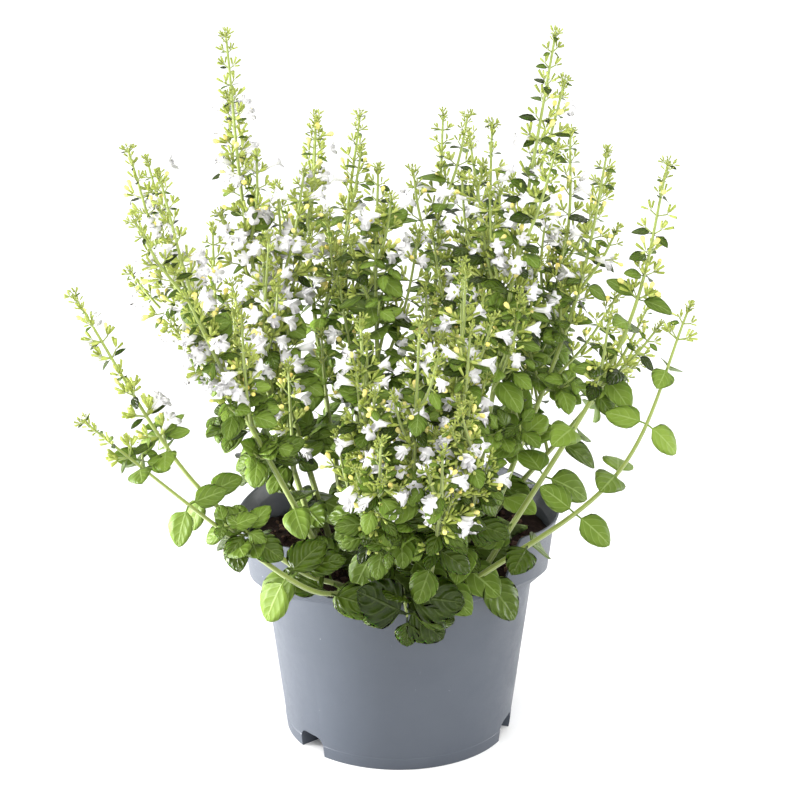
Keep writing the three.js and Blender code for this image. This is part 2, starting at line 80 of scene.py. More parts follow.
DRAIN_HOLE_RADIUS = 5
DRAIN_HOLE_AT = 52

# The finer pot of the picture
POT_SIDES = 180
MOULDING_HEIGHT = 9
MOULDING_STEP = 0.3
RIM_ROUNDING = 0.7
RIM_SEGMENTS = 3
ARCH_STEPS = 6
DRAIN_HOLE_SIDES = 24
SHARP = math.radians(35)
UP_THE_WALL = math.radians(0.5)

# The soil, as in the solid model
GAP = 0.35
SOIL_EDGE = 133
SOIL_EAR_RISE = 15
SOIL_CROWN = 146
SOIL_RELIEF = 1.6
CLOD_SIZE = 7.5
CLOD_BEND = 1.5

# The finer soil: its grit, each sort's height, width and layer of the noise, how deep its
# edge stands on the wall, its tones, and the loose crumbs on it
SOIL_RINGS = 46
SOIL_SIDES = 140
SOIL_GRIT = ((1.2, 4, 0), (0.8, 2, 9))
SOIL_EDGE_DEPTH = 3 * SOIL_RELIEF
SOIL_TONE = 0.25
SOIL_TONE_SPREAD = 0.35
SOIL_TONE_WIDTH = 3
CRUMBS = 1500
CRUMB_SEED = 5
CRUMB_SIZE = (0.8, 3.2)
CRUMB_UPRIGHT = 0.6
CRUMB_TILT = (1, 1, 0.3)
CRUMB_OUT = 0.4
CRUMB_STRETCH = ((0.8, 1.7), (0.6, 1), (0.4, 0.8))
CRUMB_LUMPS = (0.8, 1.2)

# The stems, leaves and whorls, as in the solid model
ROOT_DEPTH = 22
COLLAR = 3
STEM_RADIUS = 2.4
STEM_TIP_RADIUS = 0.8
LEAF_LENGTH = 34
TOP_LEAF_LENGTH = 20
LEAF_SIZES = (0.85, 1.1)
LEAF_DROOP = 0.24
LEAF_FOLD = 0.16
LEAF_RISE = (-0.45, 0.4)
LEAF_TWIST = 0.45
LEAF_OPENING = 0.4
LIGHT = (-0.1, -0.55, 1)
LEAF_SPACING = 42
PAIR_SHIFT = 0.2
FEWEST_PAIRS = 3
LOWEST_LEAF = 9
SHORT_STEM = 120
STALK_SHARE = 0.16
STALK_LEAST = 1
BELLY = 0.8
ROUNDNESS = 0.6
WHORL_SPACING = 38
TOP_WHORL_SPACING = 22
TOP_WHORL_BELOW_TIP = 3
FULL_WHORLS_END = 0.4
LAST_BLOOMS = 0.8
CALYX_REACH = 18
TOP_CALYX_REACH = 8
CALYX_SIZES = (0.85, 1.15)
CALYX_RISE = (0.35, 0.8)
CALYX_TURN = (0.3, 0.6)

# Side spikes: where on the stem they start and how long they are as shares of its length,
# how far they spread, and where their whorls begin
SIDE_START = (0.38, 0.74)
SIDE_LENGTHS = (0.17, 0.3)
SIDE_SPREAD = 0.3
SIDE_RISE = 0.94
SIDE_BEND = 0.6
SIDE_LEAFY = 0.25
SIDE_RADIUS = 1.3
SIDE_LEAF_LENGTH = 17
SIDE_SEED = 1000
GOLDEN_ANGLE = math.radians(137.5)

# Each stem's name, its place in the soil, the points that it passes up to its tip, how
# far up it is leafy before its whorls begin, how likely a calyx is to be an open bloom,
# and how many side spikes it has
STEMS = [
    ("tall_left", (-50, -8), [(-104, 24, 349), (-120, 34, 512)], 0.42, 0.3, 4),
    ("left_thick", (-50, -52), [(-131, -88, 336), (-158, -92, 446)], 0.45, 0.45, 5),
    ("left_back", (-60, 8), [(-161, 40, 323), (-194, 62, 422)], 0.45, 0.3, 4),
    ("left_low", (-41, -77), [(-70, -114, 172), (-139, -108, 233), (-219, -84, 360)], 0.62, 0.1, 0),
    ("left_shoot", (-33, -85), [(-62, -122, 160), (-120, -124, 205), (-211, -128, 286)], 0.8, 0, 0),
    ("left_upright", (-58, -28), [(-93, -14, 288), (-90, -10, 380)], 0.45, 0.35, 4),
    ("back_left_a", (-40, 22), [(-65, 92, 328), (-61, 132, 429)], 0.5, 0.14, 3),
    ("back_left_b", (-22, 38), [(-40, 120, 320), (-29, 176, 419)], 0.5, 0.14, 3),
    ("leafy_mid", (-10, 14), [(-16, 10, 332), (-14, 6, 424)], 0.72, 0.12, 3),
    ("back_mid", (14, 42), [(29, 130, 319), (34, 192, 415)], 0.45, 0.12, 3),
    ("mid_right", (26, 6), [(60, 44, 342), (51, 76, 430)], 0.55, 0.12, 3),
    ("back_right", (34, 40), [(65, 104, 333), (70, 150, 419)], 0.5, 0.1, 3),
    ("tall_right", (46, -46), [(83, -16, 370), (107, -4, 521)], 0.48, 0.2, 4),
    ("right_a", (54, 10), [(122, 84, 339), (127, 124, 420)], 0.55, 0.1, 3),
    ("right_b", (60, -18), [(128, 14, 331), (148, 40, 427)], 0.55, 0.08, 3),
    ("right_long", (58, -60), [(156, -62, 327), (182, -50, 443)], 0.66, 0.02, 1),
    ("right_low", (44, -78), [(150, -102, 238), (195, -100, 358)], 0.85, 0, 0),
    ("right_back", (66, 28), [(157, 90, 236), (192, 124, 290)], 0.6, 0.05, 1),
    ("front_a", (-6, -68), [(-21, -118, 275), (-25, -130, 358)], 0.42, 0.4, 4),
    ("front_b", (8, -76), [(11, -128, 272), (14, -142, 359)], 0.42, 0.4, 3),
    ("front_c", (26, -66), [(42, -84, 291), (45, -92, 379)], 0.45, 0.25, 4),
    ("front_d", (-16, -58), [(-13, -150, 237), (-11, -178, 291)], 0.4, 0.4, 3),
    ("front_e", (20, -84), [(28, -150, 230), (29, -172, 281)], 0.4, 0.4, 2),
    ("front_f", (38, -62), [(52, -130, 247), (41, -150, 300)], 0.4, 0.3, 2),
    ("front_droop", (2, -90), [(3, -104, 152), (6, -120, 138)], 1, 0, 0),
]

# What follows is finer than the solids, or added to them, with a run of numbers of its own
# for each stem. Tones run from 0, dark, to 1, pale. A pair of numbers is a range, or a
# measure at a spike's foot and at its tip.
FIRST_SEED = 100

# Square stems with hollow faces, paler higher up
STEM_RINGS_EVERY = 8
STEM_CORNERS = 4
STEM_SIDES = 12
FACE_HOLLOW = 0.68
STEM_TONE = 0.2
STEM_TONE_RISE = 0.5
STEM_PALER = (140, 400)

# Leaves: the rows, sides and teeth of those that are at least so long, and their shape,
# a little wider than the solids', in shares of their length
LEAF_MAKES = ((22, 12, 8, 6), (12, 9, 6, 5), (0, 6, 4, 3))
LEAF_WIDTH_SHARE = 0.86
LEAF_THICKNESS = 0.025
STALK_SPAN = 0.2
STALK_HALF_WIDTH = 0.028
ROWS_TO_TIP = 1.25
TOOTH_DEPTH = 0.05
DROOPS = (0.4, 1.6)
FOLDS = (0.2, 1.8)
WAVE = 0.035
WAVES = 9
WAVE_PHASES = (0, 6)

# The low leaves' greens, dark with painted shade or bright, that give way to one between two
# heights
LOW_LEAVES = (170, 260)
PAINTED_SHADE_TONE = 0.26
BRIGHT_TONE = 0.45
BRIGHT_SHARE = 0.2
LOW_TONE_SPREAD = 0.1
HIGH_TONE = 0.58
HIGH_TONE_SPREAD = 0.13
TONE_LIMITS = (0.02, 0.98)

# Side shoots in the leaf axils: two thin stalks, given by radius and tone, that bend up,
# and three pairs of leaves
STALK_UP = (0.3, 0.2, 1)
STALK_SIDES = 4
SHOOTS = (1, 2)
FEW_SHOOTS = 0.2
SHOOT_FOOT = (35, 110)
SHOOT_LENGTH = (12, 42)
SHOOT_SHORTNESS = 1.5
SHOOT_ASIDE = 0.7
SHOOT_RISE = (0.1, 0.8)
SHOOT_BEND = (0, 0, 0.5)
SHOOT_STALKS = ((1, 0.5), (0.8, 0.6))
SHOOT_PAIR_AT = 0.55
SHOOT_LEAF_SHARE = (0.5, 0.85)
SHOOT_LEAF_RISE = (-0.1, 0.5)
LOW_SHOOT_LEAF = 0.9
LOWEST_PAIR = 1.1
PAIR_SHRINKS = 0.25

# Late side spikes, slender and lower down: how many go with each number of side spikes
LATE_SPIKES = (0, 1, 2, 2, 3, 3)
LATE_START = (0.22, 0.5)
LATE_LENGTH = (70, 130)
LATE_SPREAD = 0.3
LATE_BLOOMS = 0.5

# Left of here is the side that the sun reached, with more blooms and slimmer bracts
SUNNY_SIDE = -60

# Bracts, the small dark leaves below a whorl: their length at a spike's foot and at its
# tip and how slim they are, on that side and on the rest
SUNNY_BRACTS = (17, 6, 0.55)
SHADY_BRACTS = (23, 8, 0.74)
BRACT_SHRINK = 0.6
BRACT_CHANCE = 0.8
BRACT_DARK = 0.25
BRACT_ASIDE = 0.4
BRACT_RISE = (-0.2, 0.35)
BRACT_SIZES = (0.75, 1.2)

# Cymes, the stalked bunches of calyces on both sides of a whorl, and the buds in them
FEWER_CALYCES = 1
CYME_CALYCES = (6, 4.6)
CALYX_LENGTH = (9.4, 8)
CYME_FORK = (0.45, 0.7)
CYME_LIFT = 0.5
CYME_SPREAD = (0.3, 1.1)
CYME_STALK = 0.5
CYME_TONES = (0.4, 0.8)
CYME_SIZES = (0.8, 1.15)
CYME_FEET = (0.8, 1)
CALYX_TEETH = (1, 0.94, 0.98, 0.93, 0.96)
BUD_CHANCE = 0.075
BUD_LENGTH = (4.5, 6.5)
BUD_AT = 0.8
BUD_SHAPE = ((0, 0), (0.12, 0.16), (0.6, 0.32), (0.88, 0.24), (1, 0))
BUD_SIDES = 6

# Blooms, and how much further than the first one each stage of opening reaches with its
# upper lip, with its lower lip, and forwards
BLOOM_STAGES = ((1, 1, 1), (0.85, 0.92, 1.6), (1.1, 1.05, 0.3))
BLOOM_CALYX = (10, 15, 15)
BLOOM_SIZES = (0.88, 1.12)
BLOOM_RISE = (0.2, 1)
BLOOM_APART = 0.7
MOST_BLOOMS = 1
MORE_ON_SUNNY_SIDE = 2
LONE_BLOOM_CHANCE = 0.11
LONE_ON_SUNNY_SIDE = 0.25
FEW_BLOOMS = 0.1

# A bloom's lips at every 18 degrees, from the middle of the upper lip down to the middle
# of the lower one: how far out their edge reaches, and how far forwards from the throat
LIP_REACH = (4.2, 4.5, 2.8, 3.0, 5.4, 6.2, 5.2, 3.2, 6.4, 7.6, 7.2)
LIP_FORWARD = (3.0, 2.6, 1.2, 0.6, 0.9, 0.7, 0.4, 0.2, 0.8, 0.6, 0.1)
LIP_SIDES = 20
LAST_UPPER_STEP = 2
THROAT = 16.5

# The small closed whorls at a spike's tip: reach, number of calyces and size of each
TIP_WHORLS = ((0.3, 2, 3.8), (0.8, 3, 4.4), (1.8, 3, 5.2))
TIP_WHORLS_APART = 4
TIP_RISE = 1
TIP_SMALLNESS = 0.6
TAPER_LENGTH = 45

# The leaves that hang over the rim in front: how far each one's foot lies from the tip of
# the stem that is leafy all the way, which way it points from straight down, its length,
# and how far a leaf stays above the rim
APRON_LEAVES = ((2, -2.2, 35), (7, 0.95, 28), (0, 0, 17), (16, 1.6, 34))
# Painted shade that darkens these hanging leaves
APRON_PAINTED_SHADE = 0.14
APRON_WIDTH = 1.2
APRON_FACE = (0, -1, 0.5)
APRON_OUT = 0.35
RIM_CLEARANCE = 7

# Big single leaves that stand free of the rest, by stem: how far each foot lies from the
# tip, which way round the stem it points, how steeply it rises, and its length
LONE_LEAVES = {"leafy_mid": (44, 0.1, 0.5, 20), "tall_left": (142, 0, 0.5, 18),
               "left_thick": (130, 0.2, 0.9, 22), "tall_right": (150, 3, 0.2, 18)}
LONE_LEAF_FACE = (0, -1, 0.7)

# The stems' down: bands of fine hairs, measured on a stem of radius 1
HAIRS = 14
HAIR_SIDES = 3
HAIR_BAND = 7
HAIR_FOOT = 0.66
HAIR_LENGTH = 0.65
HAIR_RADIUS = 0.035
HAIR_LEAN = 0.3
HAIR_TONE = 1

# Where a spray's finishes come, after the stem's
LEAF_SLOT, CALYX_SLOT, BUD_SLOT, PETAL_SLOT = 1, 2, 3, 4

# How far light passes into leaves and calyces, and a leaf's side veins: how many pairs it
# has, how far they lean towards its tip and how they curve
GREEN_FLESH = {"Subsurface_Radius": (0.6, 1, 0.2), "Subsurface_Scale": 0.001}
VEINS = 4.6
VEIN_LEAN = 0.42
VEIN_CURVE = 1.4

# The studio, in metres: the floor, the even light from all round, and the lamps, each
# with its place, target, size, power in watts and spread in degrees
FLOOR_SIZE = 8
EVEN_LIGHT = 1.3
LAMPS = {"overhead": ((-0.3, -0.9, 2.2), (0, 0, 0.2), 1.6, 26, 180),
         "front_fill": ((0.4, -2.0, 1.2), (0, 0, 0.25), 1.5, 18, 180),
         "left_rim": ((-1.0, 0.05, 0.1), (0, 0, 0.09), 0.4, 5.5, 60),
         "right_rim": ((1.0, 0.3, 0.1), (0, 0, 0.09), 0.4, 1.1, 60)}

# The camera: how far in front of the pot's axis and how high it stands, how far it looks
# down, how far the pot lies left of the middle, and its lens
CAMERA_BACK = 1.8
CAMERA_HEIGHT = 0.917
CAMERA_PITCH = math.radians(20.25)
CAMERA_ASIDE = 0.0011
SENSOR_WIDTH = 36
LENS = 120.7


def mix(low, high, share):
    return low + (high - low) * share


def smooth(value, start, end):
    """0 up to start, 1 from end on, and an even rise between them."""
    share = min(max((value - start) / (end - start), 0), 1)
    return share * share * (3 - 2 * share)


def seeded(seed):
    """The run of numbers from 0 up to 1 that the solid model draws for a stem."""
    state = seed * 7919 + 17
    while True:
        state = (state * 1664525 + 1013904223) % 2 ** 32
        yield state / 2 ** 32


# Shapes

def blank():
    """An empty shape that can hold its skin's places and its tones."""
    bm = bmesh.new()
    bm.loops.layers.uv.new(SKIN)
    bm.verts.layers.float.new(TONE)
    return bm


def cast(name, bm):
    """The mesh of a finished shape."""
    mesh = bpy.data.meshes.new(name)
    bm.to_mesh(mesh)
    bm.free()
    return mesh


def put(name, data):
    """A new object in the scene."""
    made = bpy.data.objects.new(name, data)
    bpy.context.scene.collection.objects.link(made)
    return made


def rolled(rows, sides, place, material=0):
    """A grid rolled up into one closed skin: place gives a point for a row and a turn."""
    bm = blank()
    skin = bm.loops.layers.uv[SKIN]
    bmesh.ops.create_grid(bm, x_segments=rows - 1, y_segments=sides, size=0.5)
    for face in bm.faces:
        face.material_index = material
        face.smooth = True
        for loop in face.loops:
            loop[skin].uv = (loop.vert.co.x + 0.5, loop.vert.co.y + 0.5)
    for vert in bm.verts:
        vert.co = place(round((vert.co.x + 0.5) * (rows - 1)), vert.co.y + 0.5)
    bmesh.ops.remove_doubles(bm, verts=bm.verts, dist=TOUCHING)
    bmesh.ops.recalc_face_normals(bm, faces=bm.faces)
    return bm


def turned(section, sides, material=0):
    """A skin turned round X: section gives, for a turn, its rows of distance and radius."""
    def place(row, turn):
        along, radius = section(turn)[row]
        angle = FULL_TURN * turn
        return Vector((along, radius * math.sin(angle), radius * math.cos(angle)))
    return rolled(len(section(0)), sides, place, material)


class Stamp:
    """A small shape that is set down many times, each time bent and turned by itself."""

    def __init__(self, bm):
        self.mesh = cast("stamp", bm)
        self.points = np.array([vert.co for vert in self.mesh.vertices])

    def set_down(self, bm, matrix, tone, points=None):
        points = self.points if points is None else points
        placed = points @ np.array(matrix.to_3x3()).T + np.array(matrix.translation)
        self.mesh.vertices.foreach_set("co", placed.astype(np.float32).ravel())
        tones = np.full(len(points), tone, np.float32)
        self.mesh.attributes[TONE].data.foreach_set("value", tones)
        bm.from_mesh(self.mesh)


def basis(point, along, up):
    """A place at a point: its X runs along, and its Z as near to up as it can."""
    along = along.normalized()
    across = up.cross(along).normalized()
    matrix = Matrix((along, across, along.cross(across))).transposed().to_4x4()
    matrix.translation = point
    return matrix


def hand_over(name, bm, materials, slot, *nodes):
    """Make a finished piece of a shape, in metres, in place of the solids that it replaces."""
    bmesh.ops.scale(bm, vec=Vector((MM, MM, MM)), verts=bm.verts)
    piece = put(name, cast(name, bm))
    for material in materials:
        piece.data.materials.append(material)
    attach(piece, "root")
    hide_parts(*nodes)


# Materials

class Finish:
    """A material whose nodes are written as sums."""

    # A Mix node's sockets for numbers and directions come before those for colours
    NOT_COLOURS = [None] * 5
    MIXED_COLOUR = 2

    def __init__(self, name, **sockets):
        self.material = bpy.data.materials.new(name)
        self.material.use_nodes = True
        self.tree = self.material.node_tree
        self.shader = self.tree.nodes["Principled BSDF"]
        for socket, value in sockets.items():
            self.shader.inputs[socket.replace("_", " ")].default_value = value

    def add(self, kind, *inputs, output=0, **settings):
        made = self.tree.nodes.new("ShaderNode" + kind)
        for setting, value in settings.items():
            setattr(made, setting, value)
        for socket, value in zip(made.inputs, inputs):
            if isinstance(value, bpy.types.NodeSocket):
                self.tree.links.new(value, socket)
            elif value is not None:
                socket.default_value = value
        return made.outputs[output]

    def sum(self, operation, *inputs):
        return self.add("Math", *inputs, operation=operation)

    def times(self, *inputs):
        return self.sum("MULTIPLY", *inputs)

    def plus(self, *inputs):
        return self.sum("ADD", *inputs)

    def less(self, *inputs):
        return self.sum("SUBTRACT", *inputs)

    def rise(self, value, start, end, low=0.0, high=1.0):
        return self.add("MapRange", value, start, end, low, high, interpolation_type="SMOOTHSTEP")

    def place(self):
        return self.add("TexCoord", output="Object")

    def skin(self):
        """How far along and how far round the skin a point lies."""
        split = self.add("SeparateXYZ", self.add("UVMap", uv_map=SKIN)).node
        return split.outputs["X"], split.outputs["Y"]

    def tone(self):
        return self.add("Attribute", output="Fac", attribute_name=TONE)

    def clouds(self, scale, detail=3.0, roughness=0.5, where=None):
        return self.add("TexNoise", where or self.place(), None, scale, detail, roughness)

    def colours(self, share, *stops):
        """Colours along a share from 0 to 1, each stop a place and an sRGB colour."""
        ramp = self.add("ValToRGB", share).node
        while len(ramp.color_ramp.elements) < len(stops):
            ramp.color_ramp.elements.new(1)
        for element, (at, colour) in zip(ramp.color_ramp.elements, stops):
            element.position = at
            element.color = linear(colour)
        return ramp.outputs[0]

    def blend(self, share, first, second):
        return self.add("Mix", share, *self.NOT_COLOURS, first, second,
                        output=self.MIXED_COLOUR, data_type="RGBA")

    def finish(self, colour, height=None, distance=0.0002, roughness=None):
        self.tree.links.new(colour, self.shader.inputs["Base Color"])
        if roughness is not None:
            self.tree.links.new(roughness, self.shader.inputs["Roughness"])
        if height is not None:
            bump = self.tree.nodes.new("ShaderNodeBump")
            bump.inputs["Distance"].default_value = distance
            self.tree.links.new(height, bump.inputs["Height"])
            self.tree.links.new(bump.outputs[0], self.shader.inputs["Normal"])
        return self.material


def linear(colour):
    """An sRGB colour of 0 to 255 as the linear colour that the nodes hold."""
    shares = [value / 255 for value in colour]
    return [s / 12.92 if s < 0.04045 else ((s + 0.055) / 1.055) ** 2.4 for s in shares] + [1]


def leaf_finish():
    """Green blades with impressed veins, paler underneath; each leaf has a tone of its own."""
    f = Finish("leaf", Specular_IOR_Level=0.15, Subsurface_Weight=0.12, **GREEN_FLESH)
    along, round_ = f.skin()
    under = f.sum("GREATER_THAN", round_, 0.5)
    across = f.sum("PINGPONG", f.times(round_, 4), 1)
    from_midrib = f.less(1, across)
    lean = f.times(f.sum("POWER", from_midrib, VEIN_CURVE), VEIN_LEAN)
    phase = f.times(f.less(along, lean), VEINS)
    from_vein = f.sum("ABSOLUTE", f.less(f.sum("FRACT", phase), 0.5))
    side_vein = f.rise(from_vein, 0, 0.1, 1, 0)
    midrib = f.rise(from_midrib, 0.02, 0.08, 1, 0)
    veins = f.sum("MAXIMUM", f.times(side_vein, 0.6), midrib)
    mottle = f.clouds(160, 4, 0.6)
    # A leaf's tone holds the painted shade of the low and hanging leaves
    shade = f.plus(f.times(mottle, 0.2), f.less(f.tone(), 0.1))
    top = f.colours(shade, (0, (30, 42, 8)), (0.25, (57, 74, 14)), (0.5, (90, 112, 36)),
                    (0.75, (112, 135, 50)), (1, (130, 154, 62)))
    paler = f.sum("MAXIMUM", veins, f.times(f.rise(from_midrib, 0.86, 1), 0.8))
    paler = f.times(paler, f.rise(f.tone(), 0.15, 0.5, 0.07, 0.3))
    veined = f.blend(paler, top, linear((168, 188, 116)))
    below = f.blend(0.4, top, linear((150, 170, 110)))
    below = f.blend(f.times(veins, 0.3), below, linear((168, 188, 124)))
    quilt = f.rise(from_vein, 0, 0.42)
    height = f.plus(f.times(quilt, 0.7), f.times(f.clouds(900), 0.15))
    height = f.less(height, f.times(midrib, 0.5))
    facing = f.less(1, f.times(under, 1.6))
    depth = f.times(facing, f.rise(f.tone(), 0.12, 0.5, 2.2, 0.4))
    roughness = f.rise(f.tone(), 0.15, 0.5, 0.3, 0.5)
    colour = f.blend(under, veined, below)
    return f.finish(colour, f.times(height, depth), 0.0006, roughness)


def stem_finish():
    """Light green, with pale ridges along the square stem's corners and duller near the soil."""
    f = Finish("stem", Roughness=0.55, Specular_IOR_Level=0.3, Sheen_Weight=0.25,
               Sheen_Roughness=0.5)
    _, round_ = f.skin()
    ridge = f.sum("ABSOLUTE", f.less(f.sum("FRACT", f.times(round_, 4)), 0.5))
    pale = f.rise(ridge, 0.28, 0.5)
    shade = f.plus(f.tone(), f.times(f.clouds(120), 0.16))
    base = f.colours(shade, (0, (102, 112, 54)), (0.35, (120, 133, 60)),
                     (0.7, (136, 151, 68)), (1, (149, 164, 76)))
    colour = f.blend(f.times(pale, 0.5), base, linear((164, 180, 118)))
    return f.finish(colour, f.clouds(2500, 2), 0.0001)


def calyx_finish():
    """Yellow-green ribbed tubes, a little darker between the ribs."""
    f = Finish("calyx", Roughness=0.55, Specular_IOR_Level=0.3, Subsurface_Weight=0.1,
               **GREEN_FLESH)
    _, round_ = f.skin()
    ribs = f.sum("PINGPONG", f.times(round_, 20), 1)
    shade = f.plus(f.times(ribs, 0.25), f.times(f.tone(), 0.75))
    colour = f.colours(shade, (0, (130, 143, 56)), (0.4, (160, 173, 76)),
                       (0.75, (182, 194, 100)), (1, (202, 210, 128)))
    return f.finish(colour, ribs, 0.00015)


def bud_finish():
    """Cream at the base and yellow at the tip."""
    f = Finish("bud", Roughness=0.5, Subsurface_Weight=0.2, Subsurface_Radius=(1, 0.8, 0.3),
               Subsurface_Scale=0.001)
    along, _ = f.skin()
    shade = f.plus(along, f.times(f.less(f.tone(), 0.5), 0.4))
    colour = f.colours(shade, (0, (212, 212, 140)), (0.5, (226, 216, 132)),
                       (1, (228, 206, 104)))
    return f.finish(colour, f.clouds(1200), 0.0001)


def petal_finish():
    """White, a little green at the tube's foot, with a papery grain and a few pale spots."""
    f = Finish("petal", Roughness=0.6, Specular_IOR_Level=0.2, Subsurface_Weight=0.5,
               Subsurface_Radius=(1, 1, 1), Subsurface_Scale=0.003)
    along, _ = f.skin()
    grain = f.clouds(700, 4, 0.6)
    shade = f.plus(f.rise(along, 0.1, 0.5), f.times(grain, 0.1))
    colour = f.colours(shade, (0, (222, 226, 184)), (0.5, (236, 235, 231)),
                       (1, (240, 238, 239)))
    spots = f.times(f.rise(along, 0.6, 0.8), f.rise(f.clouds(1500, 1), 0.62, 0.7))
    colour = f.blend(f.times(spots, 0.15), colour, linear((222, 208, 236)))
    return f.finish(colour, grain, 0.0001)


def plastic_finish():
    """Satin blue-grey plastic with a fine moulded grain, faint clouding and a few scuffs."""
    f = Finish("pot_plastic", Roughness=0.42, Specular_IOR_Level=0.5)
    where = f.place()
    clouding = f.clouds(14, 4, 0.6)
    base = f.colours(clouding, (0.3, (60, 66, 76)), (0.7, (65, 71, 81)))
    stretched = f.add("Mapping", where, None, (0, 0.5, 0.9), (60, 60, 9))
    scuffs = f.rise(f.clouds(8, 6, 0.7, stretched), 0.66, 0.74)
    colour = f.blend(f.times(scuffs, 0.12), base, linear((176, 182, 190)))
    specks = f.rise(f.add("TexVoronoi", where, None, 130), 0.035, 0.05, 1, 0)
    rare = f.times(specks, f.rise(f.clouds(30, 1), 0.6, 0.64))
    colour = f.blend(f.times(rare, 0.7), colour, linear((206, 210, 214)))
    roughness = f.rise(f.clouds(40, 5, 0.65), 0.3, 0.7, 0.38, 0.52)
    grain = f.plus(f.clouds(2600, 2), f.times(f.clouds(60, 3), 0.6))
    return f.finish(colour, grain, 0.00008, roughness)


def peat_finish():
    """Dark brown potting mix, with paler bark and fibre among it."""
    f = Finish("potting_mix", Roughness=0.95, Specular_IOR_Level=0.15)
    shade = f.plus(f.times(f.tone(), 0.7), f.times(f.clouds(500, 5, 0.7), 0.4))
    colour = f.colours(shade, (0, (22, 15, 13)), (0.4, (48, 34, 32)), (0.7, (84, 62, 56)),
                       (1, (140, 112, 92)))
    return f.finish(colour, f.clouds(900, 5, 0.7), 0.0006)


# Pot

def pot_wall(angle):
    """The wall's rows at an angle from the ears' axis, from the foot to the rim."""
    towards_ear = abs(math.cos(angle))
    from_axis = math.acos(min(towards_ear, 1))
    flare = towards_ear ** FLARE_POWER
    raised = 1 - smooth(from_axis, EAR_FLAT_END, EAR_FOOT_END)
    crease_z = CREASE_HEIGHT - CREASE_DIP * towards_ear ** DIP_POWER
    crease_r = FOOT_RADIUS + BODY_TAPER * crease_z
    collar_r = crease_r + mix(LIP_STEP, EAR_STEP, flare)
    collar_z = crease_z + mix(LIP_STEP, EAR_STEP, flare)
    ear_z = EAR_HEIGHT + EAR_SHOULDER_RISE * (from_axis / EAR_FLAT_END) ** 2
    rim_z = mix(RIM_HEIGHT, ear_z, raised)
    rim_r = collar_r + (rim_z - collar_z) * mix(LIP_FLARE, EAR_FLARE, flare)
    waist = (mix(collar_r, rim_r, WAIST_OUT), mix(collar_z, rim_z, WAIST_UP))
    return [(FOOT_RADIUS, 0), (crease_r, crease_z), (collar_r, collar_z), waist, (rim_r, rim_z)]


def pot_section(angle):
    foot, crease, collar, waist, rim = pot_wall(angle)
    inside = [(radius - WALL, height) for radius, height in (rim, waist, collar, crease)]
    corner = (FOOT_RADIUS - WALL + BODY_TAPER * FLOOR, FLOOR)
    low = FOOT_RADIUS + BODY_TAPER * MOULDING_HEIGHT
    moulding = [(low, MOULDING_HEIGHT), (low - MOULDING_STEP, MOULDING_HEIGHT + MOULDING_STEP)]
    return [(0, 0), foot, *moulding, crease, collar, waist, rim, *inside, corner, (0, FLOOR)]


def upright(section, sides):
    """A skin round the pot's axis: section gives, for an angle from the ears, its rows."""
    def place(row, turn):
        radius, height = section(FULL_TURN * turn)[row]
        angle = FULL_TURN * turn + EAR_AXIS
        return Vector((radius * math.cos(angle), radius * math.sin(angle), height))
    return rolled(len(section(0)), sides, place)


def carved(bm, tools, operation):
    """The shape joined with or cut by another, by a boolean."""
    body, tool = (put("carving", cast("carving", shape)) for shape in (bm, tools))
    cut = body.modifiers.new("cut", "BOOLEAN")
    cut.object, cut.operation, cut.solver = tool, operation, "EXACT"
    carved_mesh = body.evaluated_get(bpy.context.evaluated_depsgraph_get()).to_mesh()
    made = bmesh.new()
    made.from_mesh(carved_mesh)
    for used in (body, tool):
        bpy.data.objects.remove(used)
    return made


def drain_tunnels(extra, start, end, low=-FLOOR):
    """Arched tunnels that run out from the pot's middle past its foot."""
    bm = blank()
    half, height = DRAIN_WIDTH / 2 + extra, DRAIN_HEIGHT + extra
    rounding = half * DRAIN_ROUNDING
    arch = [(half, low)]
    for step in range(ARCH_STEPS + 1):
        angle = step / ARCH_STEPS * QUARTER_TURN
        across, up = rounding * (1 - math.cos(angle)), rounding * (1 - math.sin(angle))
        arch.append((half - across, height - up))
    arch += [(-across, up) for across, up in reversed(arch)]
    for turn in DRAIN_ANGLES:
        face = bm.faces.new([bm.verts.new((start, across, up)) for across, up in arch])
        grown = bmesh.ops.extrude_face_region(bm, geom=[face])["geom"]
        far = [item for item in grown if isinstance(item, bmesh.types.BMVert)]
        bmesh.ops.translate(bm, verts=far, vec=(end - start, 0, 0))
        made = far + list(face.verts)
        bmesh.ops.rotate(bm, verts=made, matrix=Matrix.Rotation(turn, 3, "Z"))
    bmesh.ops.recalc_face_normals(bm, faces=bm.faces)
    return bm


def drain_holes():
    bm = bmesh.new()
    for turn in DRAIN_ANGLES:
        at = Matrix.Rotation(turn, 4, "Z") @ Matrix.Translation((DRAIN_HOLE_AT, 0, DRAIN_HEIGHT))
        bmesh.ops.create_cone(bm, cap_ends=True, segments=DRAIN_HOLE_SIDES,
                              radius1=DRAIN_HOLE_RADIUS, radius2=DRAIN_HOLE_RADIUS,
                              depth=DRAIN_HEIGHT, matrix=at)
    return bm


def pot_piece():
    bm = upright(pot_section, POT_SIDES)
    rings = [edge for edge in bm.edges if is_ring(edge)]
    bmesh.ops.bevel(bm, geom=rings, offset=RIM_ROUNDING, segments=RIM_SEGMENTS, profile=0.5,
                    affect="EDGES", material=-1, clamp_overlap=True)
    walls = drain_tunnels(WALL, DRAIN_START - WALL, FOOT_RADIUS - WALL, FLOOR / 2)
    bm = carved(bm, walls, "UNION")
    bm = carved(bm, drain_tunnels(0, DRAIN_START, CREASE_RADIUS), "DIFFERENCE")
    bm = carved(bm, drain_holes(), "DIFFERENCE")
    for edge in bm.edges:
        edge.smooth = len(edge.link_faces) != 2 or edge.calc_face_angle() < SHARP
    hand_over("pot_shell", bm, [plastic_finish()], "pot", "pot")


